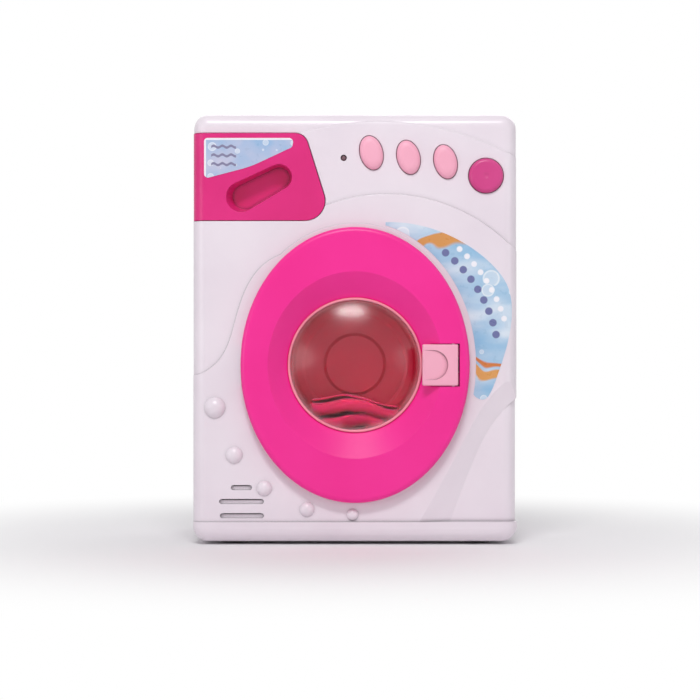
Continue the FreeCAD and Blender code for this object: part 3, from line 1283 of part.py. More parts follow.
def battery_cover():
    half = BAY_HALF_W + COVER_LEDGE - FIT
    low = BAY_FLOOR_Z - COVER_LEDGE + FIT
    body = block(-half, half, COVER_FACE, BODY_D, low, COVER_TOP_Z - FIT)
    tongue_half = TONGUE_W / 2
    stalk = block(-tongue_half, tongue_half, COVER_FACE - WALL, COVER_FACE, low, BAY_FLOOR_Z)
    tongue = block(-tongue_half, tongue_half, COVER_FACE - WALL - TONGUE_T + CLEAR, COVER_FACE - WALL,
                   BAY_FLOOR_Z - TONGUE_REACH, BAY_FLOOR_Z)
    grip_pitch = 2 * COVER_LEDGE
    ribs = []
    for index in range(COVER_RIBS):
        z = COVER_TOP_Z - 2 * SCREW_HEAD_R - COVER_LEDGE - (index + 1) * grip_pitch
        ribs.append(block(-half / 2, half / 2, BODY_D - COVER_T / 3, BODY_D + 1, z, z + COVER_LEDGE / 2))
    well = rod(0.0, COVER_SCREW_Z, BODY_D - SMALL_HEAD_T, BODY_D + 1, SMALL_HEAD_R + FIT)
    hole = rod(0.0, COVER_SCREW_Z, COVER_FACE - 1, BODY_D, SMALL_SCREW_R + PILOT_CLEAR)
    return fuse([body, stalk, tongue]).cut(ribs + [well, hole])


def cover_screw():
    return screw(0.0, COVER_SCREW_Z, BODY_D, COVER_SCREW_L - 1, SMALL_SCREW_R, SMALL_HEAD_R, SMALL_HEAD_T)


def sticker(height, region):
    """Thin sheet that follows the rounded front at a height, inside a region."""
    return raised_block(height, LABEL_T).cut(raised_block(height)).common(region)


def front_label():
    """Swoosh along the right of the door, drawn between an oval and a free curve."""
    half_w = DOOR_HALF_W + RING_MARGIN + STEP_RUN + LABEL_GAP
    half_h = DOOR_HALF_H + RING_MARGIN + STEP_RUN + LABEL_GAP
    hole = oval_plug(DOOR_X, DOOR_Z, half_w, half_h, -FAR, FAR)
    points = [at(DOOR_X + x * DOOR_HALF_W, -FAR, DOOR_Z + z * DOOR_HALF_H) for x, z in LABEL_OUTER]
    end_z = DOOR_Z + LABEL_END * DOOR_HALF_H
    reach = half_w * math.sqrt(1 - (LABEL_END * DOOR_HALF_H / half_h) ** 2)
    end = at(DOOR_X + reach - LABEL_GAP, -FAR, end_z)
    spline = Part.BSplineCurve()
    spline.interpolate(points + [end])
    inside = at(DOOR_X + half_w / 2, -FAR, end_z)
    start = at(points[0].x, -FAR, DOOR_Z)
    rest = Part.makePolygon([end, inside, start, points[0]]).Edges
    swoosh = Part.Face(Part.Wire([spline.toShape()] + rest)).extrude(Vector(0, 2 * FAR, 0))
    label = sticker(SURROUND_UP, swoosh.cut(hole))
    return max(label.Solids, key=lambda solid: solid.Volume)


def drawer_label():
    return sticker(DRAWER_UP, plate(DRAWER_LABEL, -FAR, FAR))


def laundry():
    """Folded cloth lying in the bottom of the drum."""
    d0 = DRUM_FRONT + 4 * DRUM_WALL
    d1 = DRUM_BACK - 3 * DRUM_WALL
    lying = rod(DOOR_X, DOOR_Z, d0, d1, DRUM_R - DRUM_WALL - CLEAR)
    half = LAUNDRY_HALF_W
    pile = lying.common(block(DOOR_X - half, DOOR_X + half, d0, d1, 0.0, LAUNDRY_TOP))
    crown = rod(DOOR_X, LAUNDRY_TOP - 2 * half, d0, d1, 2 * half)
    return pile.common(crown)


NODES = {
    "front_shell": front_shell, "rear_shell": rear_shell, "case_screws": case_screws, "foot_pads": foot_pads,
    "door_frame": door_frame, "door_hinge_pin": door_hinge_pin, "window": window,
    "window_gasket": window_gasket,
    "window_retainer": window_retainer, "retainer_screws": retainer_screws, "door_handle": door_handle,
    "handle_pin": handle_pin, "drawer_front": drawer_front, "drawer_tray": drawer_tray,
    "drawer_screws": drawer_screws, "drawer_sleeve": drawer_sleeve, "sleeve_screws": sleeve_screws,
    "drawer_label": drawer_label, "front_label": front_label, "power_button": power_button,
    "switches": switches,
    "control_board": control_board, "board_screws": board_screws, "sound_chip": sound_chip,
    "status_lamp": status_lamp, "speaker_basket": speaker_basket, "speaker_cone": speaker_cone,
    "speaker_clamp": speaker_clamp, "speaker_screws": speaker_screws, "drum": drum, "drum_shaft": drum_shaft,
    "shaft_bushes": shaft_bushes, "drum_gear": drum_gear, "reduction_gear": reduction_gear,
    "reduction_axle": reduction_axle, "motor_pinion": motor_pinion, "motor_can": motor_can,
    "motor_end_cap": motor_end_cap, "motor_rotor": motor_rotor, "gear_case": gear_case,
    "gear_cover": gear_cover,
    "gear_case_screws": gear_case_screws, "cells": cells, "battery_contacts": battery_contacts,
    "battery_cover": battery_cover, "cover_screw": cover_screw, "laundry": laundry,
}


def main():
    os.makedirs("parts", exist_ok=True)
    shapes = {node: make() for node, make in NODES.items()}
    for name, x, z in BUTTONS:
        shapes[name + "_button"] = oval_button(x, z)
    for name, x, z in switch_places():
        shapes[name + "_plunger"] = switch_plunger(x, z)
    for node, shape in shapes.items():
        print(node, len(shape.Solids), shape.isValid(), round(shape.Volume))
        shape.exportStep("parts/" + node + ".step")


main()
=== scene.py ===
import json
import math

import bmesh
import bpy
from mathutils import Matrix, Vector, noise


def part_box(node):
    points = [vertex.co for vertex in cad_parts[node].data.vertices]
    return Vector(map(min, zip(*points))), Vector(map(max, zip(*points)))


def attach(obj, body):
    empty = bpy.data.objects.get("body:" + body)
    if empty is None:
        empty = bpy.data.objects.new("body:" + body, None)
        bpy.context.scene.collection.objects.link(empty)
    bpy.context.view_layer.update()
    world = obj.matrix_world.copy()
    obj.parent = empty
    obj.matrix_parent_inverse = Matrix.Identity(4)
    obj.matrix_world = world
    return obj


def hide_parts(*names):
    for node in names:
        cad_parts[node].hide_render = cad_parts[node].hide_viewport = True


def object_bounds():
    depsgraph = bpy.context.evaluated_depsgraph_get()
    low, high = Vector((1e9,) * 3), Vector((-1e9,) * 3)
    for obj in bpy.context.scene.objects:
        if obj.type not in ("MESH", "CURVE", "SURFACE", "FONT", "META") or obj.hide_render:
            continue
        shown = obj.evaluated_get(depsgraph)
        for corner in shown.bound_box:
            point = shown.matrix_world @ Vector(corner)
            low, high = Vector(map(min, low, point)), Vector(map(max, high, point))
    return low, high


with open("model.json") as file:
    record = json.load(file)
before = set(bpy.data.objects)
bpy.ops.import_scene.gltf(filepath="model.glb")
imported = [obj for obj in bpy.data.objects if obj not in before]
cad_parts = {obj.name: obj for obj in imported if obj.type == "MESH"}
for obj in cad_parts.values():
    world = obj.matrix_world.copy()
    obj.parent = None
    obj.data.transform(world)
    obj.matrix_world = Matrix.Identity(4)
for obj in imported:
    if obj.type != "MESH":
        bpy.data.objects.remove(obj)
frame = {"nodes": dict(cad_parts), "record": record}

CAD_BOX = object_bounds()

# Farther than anything on the stage
BEYOND = 9.0

# The photograph's view: level and square on, with the cabinet's front filling part of its width
VIEW_WIDTH = 0.3889
VIEW_CENTRE_X = -0.0028
VIEW_CENTRE_Z = 0.1083
CAMERA_DISTANCE = 1.1
SENSOR_MM = 36.0

# Moulded plastic
EDGE_SOFTNESS = 0.0004
SHADER_SAMPLES = 6
# Painted shade in inner corners: how dark it gets, as a share of the shade colour, and how far it reaches
PAINTED_CORNER_SHADE_SHARE = 0.45
CORNER_REACH = 0.0025
FLOW_SCALE = 22.0
GRAIN_SCALE = 650.0
PEEL_SCALE = 420.0
PEEL_HEIGHT = 0.000012

# Front label: warm bands by start, width and colour, and rows of drops round the door by radius, spacing in
# radians, size, first and last place, and colour
BANDS = (
    (0.52, 0.10, (220, 156, 84)),
    (0.66, 0.05, (208, 118, 54)),
    (1.66, 0.10, (214, 148, 78)),
)
DROPS = (
    (0.0800, 0.085, 0.0021, 2, 11, (104, 110, 160)),
    (0.0866, 0.067, 0.0016, 4, 13, (242, 242, 248)),
)

# Print of the front label: how far its bands drift and lean, and the softness of its edges
BAND_DRIFT = 0.9
BAND_LEAN = 9.0
BAND_SOFTNESS = 0.012
DROP_SOFTNESS = 0.0003
ROW_END_SOFTNESS = 0.02

# Print of the drawer label: rows of waves by their share of its height, their ends by share of its width,
# and their ripple in radians per metre
WAVE_ROWS = (0.34, 0.56, 0.78)
WAVE_START = 0.08
WAVE_STOP = 0.36
WAVE_RATE = 1300.0
WAVE_HEIGHT = 0.0005
WAVE_HALF_LINE = 0.0007
WAVE_SOFTNESS = 0.0002
WAVE_END_SOFTNESS = 0.0003
WHITE_EDGE = 0.0011
EDGE_LINE_SOFTNESS = 0.0001

# Printed bubbles: how far they scatter, the share of cells without one, the least share of full size, and
# where the rim and the inside end, in shares of the radius
BUBBLE_SCATTER = 0.8
BUBBLE_GAPS = 0.3
LEAST_BUBBLE = 0.001
RIM_START = 0.78
RIM_STOP = 0.95
RIM_SOFTNESS = 0.08
INSIDE_STOP = 0.85
INSIDE_SOFTNESS = 0.1

# Bubbles of each label: cells per metre, radius in cells, strength of the fill and of the rim, and rim colour
FRONT_BUBBLES = (62.0, 0.55, 0.3, 0.75, (240, 246, 250))
DRAWER_BUBBLES = (130.0, 0.6, 0.35, 0.7, (238, 242, 250))

# Dry cell: where its jacket starts and ends, and the share of its length under the darker colour
JACKET_FOOT = 0.0015
JACKET_HEAD = 0.0028
DARK_SHARE = 0.36
JACKET_SOFTNESS = 0.0002

# Window: width of the pale painted reflection along its rim and how far its edge wanders
RIM_REFLECTION_WIDTH = 0.008
RIM_REFLECTION_WANDER = 0.003

# Folded cloth in the drum: waves in radians per metre, lags in radians per roll or layer
CLOTH_LAYERS = 8
CLOTH_THICKNESS = 0.0010
CLOTH_CRUMPLE = 0.0013
CLOTH_COLUMNS = 40
CLOTH_STEPS = 9
BEND_STEPS = 5
BEND_REACH = 0.003
FOLD_WANDER = 0.45
FOLD_WAVES = 150.0
FOLD_LAG = 0.6
ROLL_FULLNESS = 0.8
UNEVEN_REACH = 0.0018
UNEVEN_WAVES = 70.0
UNEVEN_LAG = 2.3
LOW_END = 0.35
LOW_END_START = 0.3
LARGE_CREASES = 75.0
SMALL_CREASES = 190.0
SMALL_CREASE_SHARE = 0.5
THREAD_PITCH = 0.0011
CREASE_SEED = 7

# Stage: floor and wall, the distance at which the floor has turned half white, strength of the sky, and
# lamps by name, place, size and power
FLOOR_HALF_WIDTH = 4.0
FLOOR_FRONT = -3.0
WALL_START = 1.6
WALL_RADIUS = 0.8
WALL_STEPS = 12
WALL_TOP = 2.6
WHITE_FROM = 0.24
WHITE_SOFTNESS = 0.13
SKY_STRENGTH = 0.42
LAMPS = (
    ("key", (-0.06, -0.8, 0.95), (0.5, 0.2), 5.6),
    ("left_fill", (-0.9, -0.8, 0.22), (0.6, 0.4), 1.3),
    ("right_fill", (0.9, -0.8, 0.22), (0.6, 0.4), 0.8),
    ("back_fill", (0.2, 0.9, 0.9), (1.4, 1.0), 4.0),
)


def srgb(red, green, blue):
    """Linear colour from display values of 0 to 255."""
    shares = [value / 255 for value in (red, green, blue)]
    return tuple(v / 12.92 if v <= 0.04045 else ((v + 0.055) / 1.055) ** 2.4 for v in shares) + (1.0,)


def grey(value):
    return (value, value, value, 1.0)


WHITE = grey(1.0)
BLACK = grey(0.0)


class Nodes:
    """Short way to write the nodes of one material."""

    def __init__(self, name):
        self.material = bpy.data.materials.new(name)
        self.material.use_nodes = True
        self.tree = self.material.node_tree
        self.shader = self.tree.nodes["Principled BSDF"]
        self.output = self.tree.nodes["Material Output"]
        self.place = self.add("ShaderNodeTexCoord").outputs["Object"]

    def add(self, kind, **settings):
        node = self.tree.nodes.new(kind)
        for key, value in settings.items():
            setattr(node, key, value)
        return node

    def feed(self, socket, value):
        if isinstance(value, bpy.types.NodeSocket):
            self.tree.links.new(value, socket)
        else:
            socket.default_value = value

    def drive(self, **sockets):
        """Set or link the shader's sockets, named with _ for a space."""
        for key, value in sockets.items():
            self.feed(self.shader.inputs[key.replace("_", " ")], value)

    def stretched(self, x, y, z):
        node = self.add("ShaderNodeMapping")
        node.inputs["Scale"].default_value = (x, y, z)
        self.feed(node.inputs["Vector"], self.place)
        return node.outputs["Vector"]

    def noise(self, scale, detail=2.0, place=None):
        node = self.add("ShaderNodeTexNoise")
        node.inputs["Scale"].default_value = scale
        node.inputs["Detail"].default_value = detail
        self.feed(node.inputs["Vector"], place or self.place)
        return node.outputs["Fac"]

    def ramp(self, share, *stops):
        node = self.add("ShaderNodeValToRGB")
        elements = node.color_ramp.elements
        while len(elements) < len(stops):
            elements.new(0.5)
        for element, (position, colour) in zip(elements, stops):
            element.position = position
            element.color = colour
        self.feed(node.inputs["Fac"], share)
        return node.outputs["Color"]

    def math(self, operation, a, b=0.0):
        node = self.add("ShaderNodeMath", operation=operation)
        self.feed(node.inputs[0], a)
        self.feed(node.inputs[1], b)
        return node.outputs["Value"]

    def mix(self, share, a, b):
        node = self.add("ShaderNodeMix", data_type="RGBA")
        self.feed(node.inputs["Factor"], share)
        self.feed(node.inputs["A"], a)
        self.feed(node.inputs["B"], b)
        return node.outputs["Result"]

    def axes(self, place=None):
        node = self.add("ShaderNodeSeparateXYZ")
        self.feed(node.inputs["Vector"], place or self.place)
        return node.outputs["X"], node.outputs["Y"], node.outputs["Z"]

    def front_plane(self):
        """The place as seen from the front: x and z as a flat pair."""
        x, _, z = self.axes()
        node = self.add("ShaderNodeCombineXYZ")
        self.feed(node.inputs["X"], x)
        self.feed(node.inputs["Y"], z)
        return node.outputs["Vector"]

    def length(self, a, b):
        """Length of a flat step of a one way and b the other."""
        return self.math("SQRT", self.math("ADD", self.math("POWER", a, 2.0), self.math("POWER", b, 2.0)))

    def within(self, value, low, high, softness):
        """1 where a value lies between low and high, with soft edges."""
        node = self.add("ShaderNodeMapRange", interpolation_type="SMOOTHSTEP")
        self.feed(node.inputs["Value"], value)
        node.inputs["From Min"].default_value = low - softness
        node.inputs["From Max"].default_value = low + softness
        rise = node.outputs["Result"]
        node = self.add("ShaderNodeMapRange", interpolation_type="SMOOTHSTEP")
        self.feed(node.inputs["Value"], value)
        node.inputs["From Min"].default_value = high + softness
        node.inputs["From Max"].default_value = high - softness
        return self.math("MULTIPLY", rise, node.outputs["Result"])

    def soft_edges(self):
        """Normal with rounded edges, and a mask of where they are."""
        bevel = self.add("ShaderNodeBevel", samples=SHADER_SAMPLES)
        bevel.inputs["Radius"].default_value = EDGE_SOFTNESS
        product = self.add("ShaderNodeVectorMath", operation="DOT_PRODUCT")
        self.feed(product.inputs[0], bevel.outputs["Normal"])
        self.feed(product.inputs[1], self.add("ShaderNodeNewGeometry").outputs["Normal"])
        edge = self.math("SUBTRACT", 1.0, product.outputs["Value"])
        return bevel.outputs["Normal"], self.math("MULTIPLY", edge, 2.0)

    def corners(self, reach):
        """1 in the open, less in inner corners."""
        node = self.add("ShaderNodeAmbientOcclusion", samples=SHADER_SAMPLES, only_local=True)
        node.inputs["Distance"].default_value = reach
        return node.outputs["AO"]

    def bump(self, height, distance, normal=None):
        node = self.add("ShaderNodeBump")
        node.inputs["Distance"].default_value = distance
        self.feed(node.inputs["Height"], height)
        if normal:
            self.feed(node.inputs["Normal"], normal)
        return node.outputs["Normal"]


def moulded(name, colour, shade, smooth, rough, peel=PEEL_HEIGHT, wear=0.25):
    """Moulded plastic: faint flow marks, painted shade in inner corners, fine grain in the gloss, and rubbed
    edges.
    """
    m = Nodes(name)
    normal, edge = m.soft_edges()
    flow = m.ramp(m.noise(scale=FLOW_SCALE, detail=4.0), (0.35, shade), (0.65, colour))
    # Painted shade: a darker copy of the shade colour, laid into inner corners by ambient occlusion
    painted_corner_shade = tuple(PAINTED_CORNER_SHADE_SHARE * share for share in shade[:3]) + (1.0,)
    tone = m.mix(m.ramp(m.corners(CORNER_REACH), (0.45, BLACK), (0.9, WHITE)), painted_corner_shade, flow)
    scuffs = m.ramp(m.noise(scale=GRAIN_SCALE / 4, detail=6.0), (0.45, BLACK), (0.75, grey(wear)))
    m.drive(
        Base_Color=m.mix(m.math("MULTIPLY", edge, scuffs), tone, WHITE),
        Roughness=m.ramp(m.noise(scale=GRAIN_SCALE, detail=5.0), (0.35, grey(smooth)), (0.7, grey(rough))),
        Normal=m.bump(m.noise(PEEL_SCALE), peel, normal),
    )
    return m


def glossy_plastic(name, colour, shade, coat=0.12):
    m = moulded(name, colour, shade, smooth=0.3, rough=0.42)
    m.drive(Specular_IOR_Level=0.35, Coat_Weight=coat, Coat_Roughness=0.2)
    return m.material


def satin_plastic(name, colour, shade):
    return moulded(name, colour, shade, smooth=0.36, rough=0.5).material


def dull_plastic(name, colour, shade):
    return moulded(name, colour, shade, smooth=0.5, rough=0.7, peel=2 * PEEL_HEIGHT).material


def metal(name, colour, shade, along):
    """Drawn or turned metal with fine lines along one way and a few dull spots."""
    m = Nodes(name)
    normal, edge = m.soft_edges()
    lines = m.noise(scale=1.0, detail=3.0, place=m.stretched(*along))
    spots = m.noise(scale=180.0, detail=5.0)
    m.drive(
        Base_Color=m.mix(spots, colour, shade),
        Metallic=1.0,
        Roughness=m.ramp(m.math("ADD", lines, edge), (0.3, grey(0.24)), (0.8, grey(0.42))),
        Normal=m.bump(lines, distance=0.00003, normal=normal),
    )
    return m.material


def rubber(name, colour, shade):
    m = moulded(name, colour, shade, smooth=0.7, rough=0.9, peel=3 * PEEL_HEIGHT, wear=0.4)
    m.drive(Sheen_Weight=0.3, Sheen_Roughness=0.5)
    return m.material


def circuit_board(name):
    """Green lacquer over a grid of traces."""
    m = Nodes(name)
    brick = m.add("ShaderNodeTexBrick")
    brick.inputs["Scale"].default_value = 160.0
    brick.inputs["Mortar Size"].default_value = 0.06
    m.feed(brick.inputs["Vector"], m.front_plane())
    lacquer = m.ramp(m.noise(scale=90.0), (0.3, srgb(16, 92, 48)), (0.7, srgb(28, 120, 62)))
    m.drive(
        Base_Color=m.mix(brick.outputs["Fac"], lacquer, srgb(70, 150, 86)),
        Roughness=m.ramp(m.noise(GRAIN_SCALE), (0.3, grey(0.3)), (0.7, grey(0.45))),
        Normal=m.bump(brick.outputs["Fac"], distance=0.00004),
    )
    return m.material


def paper(name):
    m = Nodes(name)
    fibres = m.noise(scale=1100.0, detail=8.0)
    m.drive(
        Base_Color=m.ramp(fibres, (0.3, srgb(226, 220, 224)), (0.7, srgb(240, 234, 238))),
        Roughness=m.ramp(fibres, (0.3, grey(0.75)), (0.7, grey(0.95))),
        Normal=m.bump(fibres, distance=0.0002),
    )
    return m.material


def cell_jacket(name):
    """Plain two-colour jacket of a dry cell, with bare metal at its ends."""
    low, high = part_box("cells")
    m = Nodes(name)
    _, _, z = m.axes()
    band = m.within(z, low.z + DARK_SHARE * (high.z - low.z), BEYOND, EDGE_LINE_SOFTNESS)
    jacket = m.within(z, low.z + JACKET_FOOT, high.z - JACKET_HEAD, JACKET_SOFTNESS)
    print_tone = m.mix(band, srgb(40, 44, 52), srgb(178, 120, 58))
    m.drive(
        Base_Color=m.mix(jacket, srgb(190, 190, 192), print_tone),
        Metallic=m.ramp(jacket, (0.0, grey(1.0)), (1.0, grey(0.35))),
        Roughness=m.ramp(m.noise(scale=300.0, detail=4.0), (0.3, grey(0.25)), (0.7, grey(0.38))),
        Normal=m.bump(m.noise(scale=90.0), distance=0.0001),
    )
    return m.material


def clear_window(name):
    """Clear moulded dome, with a pale painted reflection towards its rim, which lets the lamps light the drum
    behind it.
    """
    low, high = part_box("window")
    radius = (high.x - low.x) / 2
    m = Nodes(name)
    x, _, z = m.axes()
    across = m.math("SUBTRACT", x, (low.x + high.x) / 2)
    along = m.math("SUBTRACT", z, (low.z + high.z) / 2)
    reach = m.length(across, along)
    # Towards the rim the dome turns pale pink and less clear: painted reflection over the thick edge of the
    # dome
    wander = m.math("MULTIPLY", m.noise(scale=90.0, detail=3.0), RIM_REFLECTION_WANDER)
    painted_rim_reflection = m.within(m.math("ADD", reach, wander), radius, BEYOND, RIM_REFLECTION_WIDTH)
    m.drive(
        Base_Color=srgb(255, 240, 244),
        Transmission_Weight=m.ramp(painted_rim_reflection, (0.0, WHITE), (1.0, grey(0.4))),
        IOR=1.1,
        Coat_Weight=1.0,
        Coat_Roughness=0.22,
        Coat_IOR=1.28,
        Roughness=m.ramp(m.noise(scale=60.0, detail=6.0), (0.4, grey(0.02)), (0.8, grey(0.06))),
        Normal=m.bump(m.noise(scale=35.0, detail=1.0), distance=0.0002),
    )
    clear = m.add("ShaderNodeBsdfTransparent")
    clear.inputs["Color"].default_value = grey(0.92)
    either = m.add("ShaderNodeMixShader")
    m.feed(either.inputs["Fac"], m.add("ShaderNodeLightPath").outputs["Is Shadow Ray"])
    m.feed(either.inputs[1], m.shader.outputs["BSDF"])
    m.feed(either.inputs[2], clear.outputs["BSDF"])
    m.feed(m.output.inputs["Surface"], either.outputs["Shader"])
    return m.material


def bubbles(m, scale, radius):
    """Masks of the rims and of the insides of scattered round bubbles of many sizes."""
    cells = m.add("ShaderNodeTexVoronoi", voronoi_dimensions="2D")
    cells.inputs["Scale"].default_value = scale
    cells.inputs["Randomness"].default_value = BUBBLE_SCATTER
    m.feed(cells.inputs["Vector"], m.front_plane())
    chance = m.axes(cells.outputs["Color"])[0]
    share = m.math("MAXIMUM", m.math("SUBTRACT", chance, BUBBLE_GAPS), LEAST_BUBBLE)
    size = m.math("MULTIPLY", share, radius)
    reach = m.math("DIVIDE", cells.outputs["Distance"], size)
    rim = m.within(reach, RIM_START, RIM_STOP, RIM_SOFTNESS)
    return rim, m.within(reach, -1.0, INSIDE_STOP, INSIDE_SOFTNESS)


def with_bubbles(m, colour, scale, radius, fill, edge, tone):
    """A colour under printed bubbles, partly filled with white and with rims of their own tone."""
    rim, inside = bubbles(m, scale, radius)
    colour = m.mix(m.math("MULTIPLY", inside, fill), colour, WHITE)
    return m.mix(m.math("MULTIPLY", rim, edge), colour, srgb(*tone))


def printed(name, tone):
    """Printed vinyl: the tone under a clear film with faint creases."""
    m, colour = tone
    m.material.name = name
    m.drive(
        Base_Color=colour,
        Roughness=m.ramp(m.noise(scale=GRAIN_SCALE / 2, detail=4.0), (0.35, grey(0.26)), (0.7, grey(0.42))),
        Coat_Weight=0.3,
        Coat_Roughness=0.2,
        Normal=m.bump(m.noise(scale=40.0, detail=3.0), distance=0.0003),
    )
    return m.material


def front_print():
    """Sky blue with pale swirls, warm bands across it, and rows of drops and bubbles along it."""
    m = Nodes("front_print")
    low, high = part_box("door_frame")
    x, _, z = m.axes()
    across = m.math("SUBTRACT", x, (low.x + high.x) / 2)
    along = m.math("SUBTRACT", z, (low.z + high.z) / 2)
    reach = m.length(across, along)
    turn = m.math("ARCTAN2", along, across)
    drift = m.math("MULTIPLY", m.math("SUBTRACT", m.noise(scale=26.0, detail=2.0), 0.5), BAND_DRIFT)
    swirl = m.noise(scale=30.0, detail=3.0, place=m.stretched(1.0, 1.0, 2.2))
    sky = m.ramp(swirl, (0.3, srgb(136, 186, 222)), (0.5, srgb(170, 202, 228)), (0.7, srgb(218, 230, 242)))
    bend = m.math("ADD", m.math("ADD", turn, drift), m.math("MULTIPLY", reach, BAND_LEAN))
    colour = sky
    for start, width, tone in BANDS:
        colour = m.mix(m.within(bend, start, start + width, BAND_SOFTNESS), colour, srgb(*tone))
    for radius, spacing, size, first, last, tone in DROPS:
        step = m.math("DIVIDE", turn, spacing)
        side = m.math("MULTIPLY", m.math("SUBTRACT", m.math("FRACT", step), 0.5), spacing * radius)
        out = m.math("SUBTRACT", reach, radius)
        apart = m.length(side, out)
        disc = m.within(apart, -1.0, size, DROP_SOFTNESS)
        drop = m.math("MULTIPLY", disc, m.within(step, first, last, ROW_END_SOFTNESS))
        colour = m.mix(drop, colour, srgb(*tone))
    return m, with_bubbles(m, colour, *FRONT_BUBBLES)


def drawer_print():
    """Pale lavender blue with a white edge, short dusky waves at one end and bubbles."""
    low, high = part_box("drawer_label")
    width, height = high.x - low.x, high.z - low.z
    m = Nodes("drawer_print")
    x, _, z = m.axes()
    pale = m.ramp(m.noise(scale=48.0, detail=3.0), (0.35, srgb(152, 184, 220)), (0.65, srgb(204, 200, 222)))
    colour = with_bubbles(m, pale, *DRAWER_BUBBLES)
    ripple = m.math("MULTIPLY", m.math("SINE", m.math("MULTIPLY", x, WAVE_RATE)), WAVE_HEIGHT)
    level = m.math("ADD", z, ripple)
    for share in WAVE_ROWS:
        row = low.z + share * height
        line = m.within(level, row - WAVE_HALF_LINE, row + WAVE_HALF_LINE, WAVE_SOFTNESS)
        length = m.within(x, low.x + WAVE_START * width, low.x + WAVE_STOP * width, WAVE_END_SOFTNESS)
        colour = m.mix(m.math("MULTIPLY", line, length), colour, srgb(128, 124, 156))
    beside = m.within(x, low.x + WHITE_EDGE, BEYOND, EDGE_LINE_SOFTNESS)
    below = m.within(z, 0.0, high.z - WHITE_EDGE, EDGE_LINE_SOFTNESS)
    face = m.math("MULTIPLY", beside, below)
    return m, m.mix(face, srgb(240, 238, 244), colour)


def woven_cloth(name):
    """Plain weave laid out along the cloth's own width and length."""
    m = Nodes(name)
    flat = m.add("ShaderNodeTexCoord").outputs["UV"]
    turns = 2 * math.pi / THREAD_PITCH
    u, v, _ = m.axes(flat)
    warp = m.math("SINE", m.math("MULTIPLY", u, turns))
    weft = m.math("SINE", m.math("MULTIPLY", v, turns))
    weave = m.math("ADD", m.math("MULTIPLY", m.math("MULTIPLY", warp, weft), 0.5), 0.5)
    dye = m.ramp(m.noise(scale=70.0, detail=4.0), (0.3, srgb(208, 8, 84)), (0.7, srgb(220, 20, 100)))
    m.drive(
        Base_Color=m.mix(m.math("MULTIPLY", weave, 0.5), dye, srgb(192, 12, 76)),
        Roughness=m.ramp(weave, (0.0, grey(0.8)), (1.0, grey(0.95))),
        Subsurface_Weight=0.4,
        Subsurface_Scale=0.004,
        Sheen_Weight=0.2,
        Sheen_Roughness=0.4,
        Normal=m.bump(weave, distance=0.0003),
    )
    return m.material


LINES_UP = (900.0, 900.0, 40.0)
LINES_BACK = (900.0, 40.0, 900.0)
FINISHES = {
    "white_shell": glossy_plastic("white_shell", srgb(236, 226, 234), srgb(231, 220, 229), coat=0.45),
    "hot_pink": glossy_plastic("hot_pink", srgb(248, 40, 152), srgb(244, 34, 146)),
    "tray_pink": satin_plastic("tray_pink", srgb(236, 84, 156), srgb(228, 74, 146)),
    "pale_pink": satin_plastic("pale_pink", srgb(248, 178, 200), srgb(243, 168, 192)),
    "gasket": satin_plastic("gasket", srgb(247, 150, 170), srgb(240, 138, 160)),
    "button_pink": glossy_plastic("button_pink", srgb(214, 70, 140), srgb(204, 60, 130)),
    "clear_window": clear_window("clear_window"),
    "drum_pink": glossy_plastic("drum_pink", srgb(232, 24, 82), srgb(226, 20, 76)),
    "steel": metal("steel", srgb(196, 196, 200), srgb(160, 160, 166), LINES_BACK),
    "foot_rubber": rubber("foot_rubber", srgb(58, 58, 60), srgb(44, 44, 46)),
    "label": printed("front_label", front_print()),
    "switch_black": dull_plastic("switch_black", srgb(40, 40, 42), srgb(28, 28, 30)),
    "circuit_board": circuit_board("circuit_board"),
    "lamp_lens": glossy_plastic("lamp_lens", srgb(128, 96, 104), srgb(112, 82, 90)),
    "cone_paper": paper("cone_paper"),
    "gear_nylon": satin_plastic("gear_nylon", srgb(232, 230, 222), srgb(222, 219, 208)),
    "bush_brass": metal("bush_brass", srgb(206, 170, 96), srgb(170, 134, 70), LINES_UP),
    "cell_jacket": cell_jacket("cell_jacket"),
    "laundry_cloth": woven_cloth("laundry_cloth"),
}
NODE_FINISHES = {
    # The drawer front is a darker copy of the hot pink: shade painted onto the drawer
    "drawer_front": glossy_plastic("drawer_pink_painted_shade", srgb(226, 40, 128), srgb(218, 32, 120)),
    "drawer_label": printed("drawer_label", drawer_print()),
}

for part in frame["record"]["subparts"]:
    mesh = frame["nodes"][part["node"]].data
    mesh.materials.clear()
    mesh.materials.append(NODE_FINISHES.get(part["node"], FINISHES[part["material_slot"]]))


